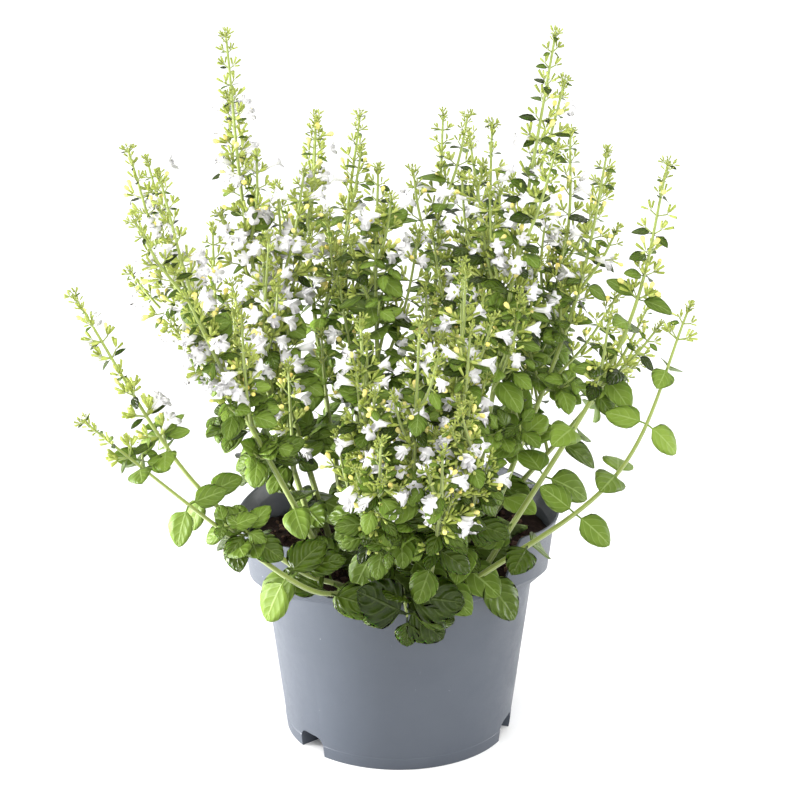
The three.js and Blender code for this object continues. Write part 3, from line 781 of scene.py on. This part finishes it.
def is_ring(edge):
    """Whether an edge runs round the pot and not up its wall, apart from the moulding line."""
    first, second = (vert.co.xy for vert in edge.verts)
    in_moulding = abs(edge.verts[0].co.z - MOULDING_HEIGHT) <= MOULDING_STEP
    if in_moulding or min(first.length, second.length) < TOUCHING:
        return False
    return first.angle(second) > UP_THE_WALL


# Soil

def relief(x, y):
    """Clods and hollows of the soil's surface: two waves, each bent by a slower one."""
    along = math.sin(x / CLOD_SIZE + CLOD_BEND * math.sin(y / (2 * CLOD_SIZE)))
    across = math.sin(y / CLOD_SIZE + CLOD_BEND * math.cos(x / (2 * CLOD_SIZE)))
    return SOIL_RELIEF * (along + across) / 2


def soil_edge(angle):
    """How high the soil reaches on the wall, at an angle from the ears."""
    return SOIL_EDGE + SOIL_EAR_RISE * abs(math.cos(angle)) ** FLARE_POWER


def soil_height(x, y):
    share = min(math.hypot(x, y) / CREASE_RADIUS, 1)
    edge = soil_edge(math.atan2(y, x) - EAR_AXIS)
    return mix(SOIL_CROWN, edge, share ** 2) + relief(x, y)


def wall_at(angle, height):
    """How far out the pot's inside lies at an angle from the ears and a height."""
    rows = pot_wall(angle)
    for (low_r, low_z), (high_r, high_z) in zip(rows, rows[1:]):
        if height <= high_z:
            break
    return mix(low_r, high_r, (height - low_z) / (high_z - low_z)) - WALL - GAP


def soil_top(angle, share):
    """A point of the soil's surface, at a share of the way from its edge to the axis."""
    turn = angle + EAR_AXIS
    radius = wall_at(angle, soil_edge(angle)) * (1 - share)
    x, y = radius * math.cos(turn), radius * math.sin(turn)
    grit = sum(high * noise.noise(Vector((x, y, layer)) / wide) for high, wide, layer in SOIL_GRIT)
    return radius, soil_height(x, y) + grit


def soil_section(angle):
    corner = (FOOT_RADIUS - WALL - GAP + BODY_TAPER * FLOOR, FLOOR + GAP)
    below = soil_edge(angle) - SOIL_EDGE_DEPTH
    heights = [min(row[1], below) for row in pot_wall(angle)[1:3]]
    sides = [(wall_at(angle, height), height) for height in heights]
    top = [soil_top(angle, ring / (SOIL_RINGS - 1)) for ring in range(SOIL_RINGS - 1)]
    return [(0, FLOOR + GAP), corner, *sides, *top, (0, soil_height(0, 0))]


def crumb_stamp():
    bm = blank()
    bmesh.ops.create_icosphere(bm, subdivisions=1, radius=1)
    return Stamp(bm)


def soil_piece():
    bm = upright(soil_section, SOIL_SIDES)
    tunnels = drain_tunnels(WALL + GAP, DRAIN_START - WALL - GAP, FOOT_RADIUS)
    bm = carved(bm, tunnels, "DIFFERENCE")
    tone = bm.verts.layers.float[TONE]
    for vert in bm.verts:
        vert[tone] = SOIL_TONE + SOIL_TONE_SPREAD * noise.noise(vert.co / SOIL_TONE_WIDTH)
    crumb = crumb_stamp()
    rng = Random(CRUMB_SEED)
    for _ in range(CRUMBS):
        turn = rng.uniform(0, FULL_TURN)
        radius = (CREASE_RADIUS - 2 * WALL) * math.sqrt(rng.random())
        x, y = radius * math.cos(turn), radius * math.sin(turn)
        size = mix(*CRUMB_SIZE, rng.random() ** 2)
        up = Vector((rng.uniform(-1, 1), rng.uniform(-1, 1), CRUMB_UPRIGHT))
        along = Vector([rng.uniform(-most, most) for most in CRUMB_TILT])
        matrix = basis(Vector((x, y, soil_height(x, y) + CRUMB_OUT * size)), along, up)
        stretch = Matrix.Diagonal([rng.uniform(*span) for span in CRUMB_STRETCH] + [1])
        lumps = [[rng.uniform(*CRUMB_LUMPS) for _ in range(3)] for _ in crumb.points]
        points = crumb.points * np.array(lumps)
        crumb.set_down(bm, matrix @ stretch @ Matrix.Scale(size, 4), rng.random(), points)
    hand_over("potting_mix", bm, [peat_finish()], "soil", "soil")


# Stems

class Route:
    """A stem's way from the soil to its tip, the same smooth curve as in the solid model."""

    DIVISIONS = 200
    NUDGE = 0.0001

    def __init__(self, points, radii, buried=0, full_end=0):
        knots = np.array(points, float)
        before, after = 2 * knots[0] - knots[1], 2 * knots[-1] - knots[-2]
        self.knots = np.vstack([before, knots, after])
        self.shares = np.linspace(0, 1, self.DIVISIONS + 1)
        steps = np.diff([self.point(share) for share in self.shares], axis=0)
        self.travelled = np.concatenate([[0], np.cumsum(np.linalg.norm(steps, axis=1))])
        self.length = float(self.travelled[-1])
        self.radii = radii
        self.buried = buried
        self.full_end = full_end

    def point(self, share):
        spans = len(self.knots) - 3
        span = min(int(share * spans), spans - 1)
        part = share * spans - span
        p0, p1, p2, p3 = self.knots[span:span + 4]
        d0, d1, d2 = (np.linalg.norm(b - a) ** 0.5 for a, b in ((p0, p1), (p1, p2), (p2, p3)))
        t1 = ((p1 - p0) / d0 - (p2 - p0) / (d0 + d1) + (p2 - p1) / d1) * d1
        t2 = ((p2 - p1) / d1 - (p3 - p1) / (d1 + d2) + (p3 - p2) / d2) * d1
        square = -3 * p1 + 3 * p2 - 2 * t1 - t2
        cube = 2 * p1 - 2 * p2 + t1 + t2
        return p1 + t1 * part + square * part ** 2 + cube * part ** 3

    def frame_at(self, length):
        """A point, its direction and two directions across it, at a length up the stem."""
        share = float(np.interp(length, self.travelled, self.shares))
        behind, ahead = max(share - self.NUDGE, 0), min(share + self.NUDGE, 1)
        tangent = Vector(self.point(ahead) - self.point(behind)).normalized()
        point = Vector(self.point(share)) + tangent * min(length, 0)
        side = Vector((0, 1, 0)).cross(tangent).normalized()
        return point, tangent, side, tangent.cross(side)

    def radius_at(self, length):
        return mix(*self.radii, min(max(length / self.length, 0), 1))


def outward(place, angle, rise):
    """A direction out from a stem: round it by an angle, and risen towards its tip."""
    _, tangent, side, front = place
    out = side * math.cos(angle) + front * math.sin(angle)
    return (out * math.cos(rise) + tangent * math.sin(rise)).normalized()


def stem_tube(route):
    """A square stem with rounded corners and hollow faces, from its buried end to its tip."""
    steps = math.ceil((route.length + route.buried) / STEM_RINGS_EVERY)
    lengths = np.linspace(-route.buried, route.length, steps + 1)

    def place(row, turn):
        length = lengths[min(max(row - 1, 0), steps)]
        point, _, side, front = route.frame_at(length)
        if row in (0, steps + 2):
            return point
        angle = FULL_TURN * turn
        fold = abs(math.sin(STEM_CORNERS / 2 * angle))
        radius = route.radius_at(length) * mix(1, FACE_HOLLOW, fold)
        return point + (side * math.cos(angle) + front * math.sin(angle)) * radius
    bm = rolled(steps + 3, STEM_SIDES, place)
    tone = bm.verts.layers.float[TONE]
    for vert in bm.verts:
        vert[tone] = STEM_TONE + STEM_TONE_RISE * smooth(vert.co.z, *STEM_PALER)
    return bm


# Leaves, calyces, buds and blooms, as stamps

def leaf_stamp(rows, sides, teeth):
    """A flat leaf of length 1 from its blade's foot to its tip, with its stalk before it."""
    def place(row, turn):
        on_top = turn <= 0.5
        across = 1 - 4 * turn if on_top else 4 * turn - 3
        share = 1 - (1 - max(row - 1, 0) / (rows - 2)) ** ROWS_TO_TIP
        if share <= 0:
            along = -STALK_SPAN if row == 0 else 0
            half, thick = STALK_HALF_WIDTH, 2 * LEAF_THICKNESS
        else:
            tooth = 1 - TOOTH_DEPTH * (1 - abs(math.sin(math.pi * teeth * share)))
            swell = math.sin(math.pi * share ** BELLY) ** ROUNDNESS if share < 1 else 0
            half = LEAF_WIDTH_SHARE / 2 * swell * tooth
            along, thick = share, LEAF_THICKNESS
        rim = math.sqrt(max(1 - across ** 2, 0))
        return Vector((along, across * half, (thick if on_top else -thick) / 2 * rim))
    return Stamp(rolled(rows, sides, place, LEAF_SLOT))


def calyx_stamp():
    """A calyx 1 long on its own thin stalk: a blunt ribbed tube with five short teeth."""
    sides = len(CALYX_TEETH)

    def section(turn):
        tooth = CALYX_TEETH[round(turn * sides) % sides]
        return [(0, 0), (0.24, 0.035), (0.36, 0.09), (0.86, 0.12), (tooth, 0.105), (0.84, 0)]
    return Stamp(turned(section, sides, CALYX_SLOT))


def bud_stamp():
    """A bud's tube with its rounded tip, 1 long."""
    return Stamp(turned(lambda turn: BUD_SHAPE, BUD_SIDES, BUD_SLOT))


def bloom_stamp(upper, lower, forward):
    """An open bloom along X, in millimetres: a tube that widens into two lobed lips."""
    def section(turn):
        step = round(turn * LIP_SIDES) % LIP_SIDES
        step = min(step, LIP_SIDES - step)
        reach = LIP_REACH[step] * (upper if step <= LAST_UPPER_STEP else lower)
        edge = THROAT + LIP_FORWARD[step] * forward
        return [(5, 0), (6.5, 1.3), (14.4, 2.7), (edge, reach), (12.5, 0)]
    return Stamp(turned(section, LIP_SIDES, PETAL_SLOT))


def leaf_points(stamp, length, slim, droop, fold, wave, phase):
    """A leaf's points at its length, folded up from its midrib, drooping and waved."""
    along, across, height = stamp.points.T
    stalk = length * STALK_SHARE + STALK_LEAST
    x = np.where(along < 0, stalk * (1 + along / STALK_SPAN), stalk + along * length)
    y = across * length * slim
    reach = stalk + length
    lift = fold * np.abs(y) - droop * (x / reach) ** 2 * reach
    lift += wave * length * np.abs(across) * np.sin(WAVES * along + phase)
    return np.stack([x, y, height * length + lift], axis=1)


def hair_stamp():
    """A band of fine hairs that stand off a stem of radius 1."""
    bm = blank()
    for number in range(HAIRS):
        turn = number * GOLDEN_ANGLE
        out = Vector((HAIR_LEAN, math.cos(turn), math.sin(turn))).normalized()
        middle = Vector((HAIR_BAND * number / HAIRS, 0, 0)) + out * (HAIR_FOOT + HAIR_LENGTH / 2)
        stand = Matrix.Translation(middle) @ out.to_track_quat("Z", "X").to_matrix().to_4x4()
        bmesh.ops.create_cone(bm, cap_ends=True, segments=HAIR_SIDES, radius1=HAIR_RADIUS,
                              radius2=0, depth=HAIR_LENGTH, matrix=stand)
    return Stamp(bm)


class Plant:
    """The stamps and finishes that every stem shares."""

    def __init__(self):
        self.leaves = [(least, leaf_stamp(*make)) for least, *make in LEAF_MAKES]
        self.hairs = hair_stamp()
        self.calyx = calyx_stamp()
        self.bud = bud_stamp()
        self.blooms = [bloom_stamp(*stage) for stage in BLOOM_STAGES]
        self.stalk = Stamp(turned(lambda turn: [(0, 0), (0, 1), (1, 1), (1, 0)], STALK_SIDES))
        makers = (stem_finish, leaf_finish, calyx_finish, bud_finish, petal_finish)
        self.finishes = [make() for make in makers]


def clear_of_rim(point, along, length):
    """A leaf's direction, turned up where it would cut through the pot's wall."""
    tip = point + along * length
    rim_r, rim_z = pot_wall(math.atan2(tip.y, tip.x) - EAR_AXIS)[-1]
    inside = rim_r - math.hypot(point.x, point.y)
    if inside <= 0 or math.hypot(tip.x, tip.y) < rim_r - RIM_CLEARANCE:
        return along
    level = math.hypot(along.x, along.y)
    needed = (rim_z + RIM_CLEARANCE - point.z) / max(inside, RIM_CLEARANCE)
    return Vector((along.x, along.y, max(along.z, needed * level))).normalized()


def set_leaf(bm, plant, point, along, length, rng, dark=0.0, slim=1.0, up=None):
    """Set down one leaf, its face to the light, with a bend and a tone of its own."""
    along = clear_of_rim(point, along, length)
    stamp = next(stamp for least, stamp in plant.leaves if length >= least)
    open_air = Vector((point.x, point.y, 0)).normalized()
    up = up or Vector(LIGHT) + open_air * LEAF_OPENING
    droop = LEAF_DROOP * rng.uniform(*DROOPS)
    fold = LEAF_FOLD * rng.uniform(*FOLDS)
    wave, phase = WAVE * rng.random(), rng.uniform(*WAVE_PHASES)
    points = leaf_points(stamp, length, slim, droop, fold, wave, phase)
    # Most low leaves get a dark tone that is painted shade, fading out between two heights; dark
    # takes more off
    low = rng.gauss(BRIGHT_TONE if rng.random() < BRIGHT_SHARE else PAINTED_SHADE_TONE, LOW_TONE_SPREAD)
    high = rng.gauss(HIGH_TONE, HIGH_TONE_SPREAD)
    tone = mix(low, high, smooth(point.z, *LOW_LEAVES)) - dark
    lowest, highest = TONE_LIMITS
    stamp.set_down(bm, basis(point, along, up), min(max(tone, lowest), highest), points)


def set_stalk(bm, plant, start, end, radius, tone):
    """A thin stalk between two points."""
    along = end - start
    matrix = basis(start, along, Vector(STALK_UP))
    plant.stalk.set_down(bm, matrix @ Matrix.Diagonal((along.length, radius, radius, 1)), tone)


def set_cyme(bm, plant, place, along, reach, size, count, bud_chance, rng):
    """A small stalked bunch of calyces that fan out and up, with a bud in some of them."""
    point, tangent = place[:2]
    fork = point + along * reach
    set_stalk(bm, plant, point, fork, CYME_STALK, rng.uniform(*CYME_TONES))
    middle = (along + tangent * CYME_LIFT).normalized()
    across = middle.cross(tangent).normalized()
    upright = middle.cross(across)
    turn = rng.uniform(0, math.pi)
    for number in range(count):
        turn += GOLDEN_ANGLE
        out = across * math.cos(turn) + upright * math.sin(turn)
        heading = (middle + out * rng.uniform(*CYME_SPREAD)).normalized()
        own = size * rng.uniform(*CYME_SIZES)
        start = point.lerp(fork, rng.uniform(*CYME_FEET))
        matrix = basis(start, heading, tangent) @ Matrix.Scale(own, 4)
        plant.calyx.set_down(bm, matrix, rng.random())
        if rng.random() < bud_chance:
            mouth = basis(start + heading * own * BUD_AT, heading, tangent)
            matrix = mouth @ Matrix.Scale(rng.uniform(*BUD_LENGTH), 4)
            plant.bud.set_down(bm, matrix, rng.random())


def set_bloom(bm, plant, place, along, rng):
    """An open bloom in its calyx."""
    matrix = basis(place[0], along, place[1])
    size = rng.uniform(*BLOOM_SIZES)
    rng.choice(plant.blooms).set_down(bm, matrix @ Matrix.Scale(size, 4), rng.random())
    plant.calyx.set_down(bm, matrix @ Matrix.Diagonal((*BLOOM_CALYX, 1)), rng.random())


def set_pair(bm, plant, place, turn, size, chance, draw, rng):
    """A pair of leaves on opposite sides of the stem, with a side shoot in some axils."""
    for half in BOTH_SIDES:
        own = size * mix(*LEAF_SIZES, draw())
        rise = mix(*LEAF_RISE, draw())
        angle = turn + half + mix(-LEAF_TWIST, LEAF_TWIST, draw())
        set_leaf(bm, plant, place[0], outward(place, angle, rise), own, rng)
        for _ in range(rng.randint(*SHOOTS) if rng.random() < chance else 0):
            set_shoot(bm, plant, place, angle, own, rng)


def set_shoot(bm, plant, place, angle, size, rng):
    """A short shoot in a leaf's axil, bent up, with pairs of smaller leaves."""
    point, tangent = place[:2]
    reach = mix(*SHOOT_LENGTH, rng.random() ** SHOOT_SHORTNESS)
    angle += rng.uniform(-SHOOT_ASIDE, SHOOT_ASIDE)
    heading = outward(place, angle, rng.uniform(*SHOOT_RISE))
    elbow = point + heading * reach * 0.5
    heading = (heading + Vector(SHOOT_BEND)).normalized()
    tip = elbow + heading * reach * 0.5
    for foot, end, (radius, tone) in zip((point, elbow), (elbow, tip), SHOOT_STALKS):
        set_stalk(bm, plant, foot, end, radius, tone)
    across = heading.cross(tangent).normalized()
    higher = rng.uniform(*SHOOT_LEAF_SHARE)
    leaf = size * mix(LOW_SHOOT_LEAF, higher, smooth(point.z, *LOW_LEAVES))
    start = rng.uniform(0, math.pi)
    for pair, joint in enumerate((elbow, elbow.lerp(tip, SHOOT_PAIR_AT), tip)):
        frame_here = (joint, heading, across, heading.cross(across))
        for half in BOTH_SIDES:
            turn = start + half + pair * QUARTER_TURN
            along = outward(frame_here, turn, rng.uniform(*SHOOT_LEAF_RISE))
            set_leaf(bm, plant, joint, along, leaf * (LOWEST_PAIR - PAIR_SHRINKS * pair), rng)


def set_bracts(bm, plant, place, turn, share, taper, is_sunny, rng):
    """The pair of small dark leaves below a whorl, wider where the plant is leafy."""
    low, high, slim = SUNNY_BRACTS if is_sunny else SHADY_BRACTS
    length = mix(low, high, share ** BRACT_SHRINK) * taper
    for side in BOTH_SIDES:
        if rng.random() < BRACT_CHANCE:
            aside = turn + side + rng.uniform(-BRACT_ASIDE, BRACT_ASIDE)
            along = outward(place, aside, rng.uniform(*BRACT_RISE))
            own = length * rng.uniform(*BRACT_SIZES)
            set_leaf(bm, plant, place[0], along, own, rng, BRACT_DARK * taper, slim)


def set_whorl(bm, plant, route, length, start, turn, chance, draw, rng):
    """Cymes on both sides of a stem, and blooms where the run of numbers, draw, gives them."""
    place = route.frame_at(length)
    share = (length - start) / (route.length - start)
    is_full = share < route.full_end
    taper = mix(TIP_SMALLNESS, 1, smooth(route.length - length, 0, TAPER_LENGTH))
    reach = mix(CALYX_REACH, TOP_CALYX_REACH, share)
    size = mix(*CALYX_LENGTH, share) * taper
    is_sunny = place[0].x < SUNNY_SIDE
    count = round(mix(*CYME_CALYCES, share)) - (0 if is_sunny else FEWER_CALYCES)
    buds = BUD_CHANCE if 0 < chance and share < LAST_BLOOMS else 0
    for side in BOTH_SIDES:
        for half in ((1, -1) if is_full else (0,)):
            own = reach * mix(*CALYX_SIZES, draw())
            rise = mix(*CALYX_RISE, draw())
            angle = turn + side + half * mix(*CALYX_TURN, draw())
            most = MOST_BLOOMS + (MORE_ON_SUNNY_SIDE if is_sunny else 0)
            blooms = rng.randint(1, most) if draw() < chance else 0
            lone = LONE_ON_SUNNY_SIDE if is_sunny else LONE_BLOOM_CHANCE
            if blooms == 0 and rng.random() < lone * smooth(chance, 0, FEW_BLOOMS):
                blooms = 1
            if share < LAST_BLOOMS:
                for bloom in range(blooms):
                    aside = angle + bloom * BLOOM_APART * rng.uniform(-1, 1)
                    heading = outward(place, aside, rise * rng.uniform(*BLOOM_RISE))
                    set_bloom(bm, plant, place, heading, rng)
            cyme = outward(place, angle, rise)
            fork = own * mix(*CYME_FORK, share) * taper
            set_cyme(bm, plant, place, cyme, fork, size, count + rng.randint(-1, 1), buds, rng)
    set_bracts(bm, plant, place, turn, share, taper, is_sunny, rng)


def set_tip(bm, plant, route, turn, rng):
    """The small closed whorls, close together, that taper to a spike's tip."""
    for number, (reach, count, size) in enumerate(TIP_WHORLS):
        place = route.frame_at(route.length - number * TIP_WHORLS_APART)
        for side in BOTH_SIDES:
            along = outward(place, turn + number * QUARTER_TURN + side, TIP_RISE)
            set_cyme(bm, plant, place, along, reach, size, count, 0, rng)


def set_spike(bm, plant, route, start, turn, chance, draw, rng):
    """Whorls from a spike's tip down to its start, closer together towards the tip."""
    if start >= route.length:
        return
    set_tip(bm, plant, route, turn, rng)
    length = route.length - TOP_WHORL_BELOW_TIP
    while length > start:
        set_whorl(bm, plant, route, length, start, turn, chance, draw, rng)
        gap = mix(WHORL_SPACING, TOP_WHORL_SPACING, (length - start) / (route.length - start))
        between = length - gap / 2
        if between > start:
            across = turn + QUARTER_TURN
            set_whorl(bm, plant, route, between, start, across, chance, rng.random, rng)
        length -= gap
        turn += QUARTER_TURN


def spike_route(foot, reach, ahead, aside):
    """The way of a spike that leaves its foot aside and then bends ahead."""
    ways = [ahead * share + aside * share ** SIDE_BEND for share in (0, 0.5, 1)]
    return Route([foot + way * reach for way in ways], (SIDE_RADIUS, STEM_TIP_RADIUS))


def side_route(route, number, count, draw):
    """The way of one side spike, out from its stem and then up along it."""
    place = route.frame_at(route.length * mix(*SIDE_START, (number + draw()) / count))
    reach = route.length * mix(*SIDE_LENGTHS, draw())
    out = outward(place, number * GOLDEN_ANGLE + draw(), 0)
    return spike_route(place[0], reach, place[1] * SIDE_RISE, out * SIDE_SPREAD)


def late_route(route, rng):
    """The way of a slender side spike lower down, that the solid model leaves out."""
    place = route.frame_at(route.length * rng.uniform(*LATE_START))
    reach = rng.uniform(*LATE_LENGTH)
    out = outward(place, rng.uniform(0, FULL_TURN), 0)
    return spike_route(place[0], reach, Vector((0, 0, SIDE_RISE)), out * LATE_SPREAD)


def set_side_spike(bm, plant, way, chance, draw, rng):
    """A side spike: its tube, one pair of leaves near its foot, and its whorls."""
    bm.from_mesh(cast("side", stem_tube(way)))
    start = way.length * SIDE_LEAFY
    turn = draw() * math.pi
    set_pair(bm, plant, way.frame_at(start / 2), turn, SIDE_LEAF_LENGTH, 0, draw, rng)
    set_spike(bm, plant, way, start, turn + QUARTER_TURN, chance, draw, rng)


def set_apron(bm, plant, route, rng):
    """The big leaves that hang over the rim, darkened with painted shade, on the stem that is leafy
    to its tip.
    """
    for from_tip, turn, length in APRON_LEAVES:
        foot = route.frame_at(route.length - from_tip)[0]
        along = Vector((math.sin(turn), -APRON_OUT, -math.cos(turn)))
        set_leaf(bm, plant, foot, along, length, rng, APRON_PAINTED_SHADE, APRON_WIDTH, Vector(APRON_FACE))


def set_lone_leaf(bm, plant, route, from_tip, turn, rise, length, rng):
    """A big leaf that stands free, its face to the front."""
    place = route.frame_at(route.length - from_tip)
    along = outward(place, turn, rise)
    set_leaf(bm, plant, place[0], along, length, rng, up=Vector(LONE_LEAF_FACE))


def set_hairs(bm, plant, route, rng):
    """The down all along a stem."""
    for length in np.arange(0, route.length - HAIR_BAND, HAIR_BAND):
        point, tangent, side, front = route.frame_at(length)
        turn = rng.uniform(0, FULL_TURN)
        radius = route.radius_at(length)
        matrix = basis(point, tangent, side * math.cos(turn) + front * math.sin(turn))
        plant.hairs.set_down(bm, matrix @ Matrix.Diagonal((1, radius, radius, 1)), HAIR_TONE)


def stem_piece(plant, number, name, root, via, leafy, chance, sides):
    """A stem with all that grows on it: draw repeats the solid's numbers, and rng adds more."""
    draw = seeded(number + 1).__next__
    rng = Random(FIRST_SEED + number)
    points = [(*root, soil_height(*root) + COLLAR), *via]
    radii = (STEM_RADIUS, STEM_TIP_RADIUS)
    route = Route(points, radii, ROOT_DEPTH + COLLAR, FULL_WHORLS_END)
    bm = stem_tube(route)
    turn = draw() * math.pi
    leafy_end = route.length * leafy
    spacing = min(LEAF_SPACING, leafy_end / FEWEST_PAIRS)
    length = leafy_end - PAIR_SHIFT * spacing * draw()
    while length > LOWEST_LEAF:
        size = mix(LEAF_LENGTH, TOP_LEAF_LENGTH, length / max(leafy_end, SHORT_STEM))
        shoots = (1 if sides > 1 else FEW_SHOOTS) * smooth(length, *SHOOT_FOOT)
        set_pair(bm, plant, route.frame_at(length), turn, size, shoots, draw, rng)
        length -= spacing
        turn += QUARTER_TURN
    if leafy == 1:
        set_apron(bm, plant, route, rng)
    set_spike(bm, plant, route, leafy_end, turn, chance, draw, rng)
    for side in range(sides):
        draw = seeded(SIDE_SEED * (side + 1) + number).__next__
        set_side_spike(bm, plant, side_route(route, side, sides, draw), chance, draw, rng)
    for _ in range(LATE_SPIKES[sides]):
        set_side_spike(bm, plant, late_route(route, rng), chance * LATE_BLOOMS, rng.random, rng)
    if name in LONE_LEAVES:
        set_lone_leaf(bm, plant, route, *LONE_LEAVES[name], rng)
    set_hairs(bm, plant, route, rng)
    hand_over(f"spray_{name}", bm, plant.finishes, "plant", f"stem_{name}")


# Studio

def studio():
    bm = bmesh.new()
    bmesh.ops.create_grid(bm, x_segments=1, y_segments=1, size=FLOOR_SIZE)
    floor = put("floor", cast("floor", bm))
    pale = Finish("floor", Roughness=0.9, Specular_IOR_Level=0.1)
    colour = pale.colours(pale.clouds(0.5), (0, (248, 248, 248)), (1, (250, 250, 250)))
    floor.data.materials.append(pale.finish(colour))

    world = bpy.data.worlds.new("studio")
    world.use_nodes = True
    background = world.node_tree.nodes["Background"]
    background.inputs["Color"].default_value = (1, 1, 1, 1)
    background.inputs["Strength"].default_value = EVEN_LIGHT
    bpy.context.scene.world = world

    for name, lamp in LAMPS.items():
        soft_light(name, *lamp)

    camera = put("camera", bpy.data.cameras.new("camera"))
    camera.data.sensor_width = SENSOR_WIDTH
    camera.data.lens = LENS
    camera.location = (CAMERA_ASIDE, -CAMERA_BACK, CAMERA_HEIGHT)
    camera.rotation_euler = (QUARTER_TURN - CAMERA_PITCH, 0, 0)
    bpy.context.scene.camera = camera
    bpy.context.scene.view_settings.view_transform = "Standard"


def soft_light(name, place, target, size, power, spread):
    lamp = bpy.data.lights.new(name, "AREA")
    lamp.size = size
    lamp.energy = power
    lamp.spread = math.radians(spread)
    light = put(name, lamp)
    light.location = place
    light.rotation_euler = (Vector(target) - Vector(place)).to_track_quat("-Z", "Y").to_euler()


studio()
pot_piece()
soil_piece()
calamint = Plant()
for number, stem in enumerate(STEMS):
    stem_piece(calamint, number, *stem)
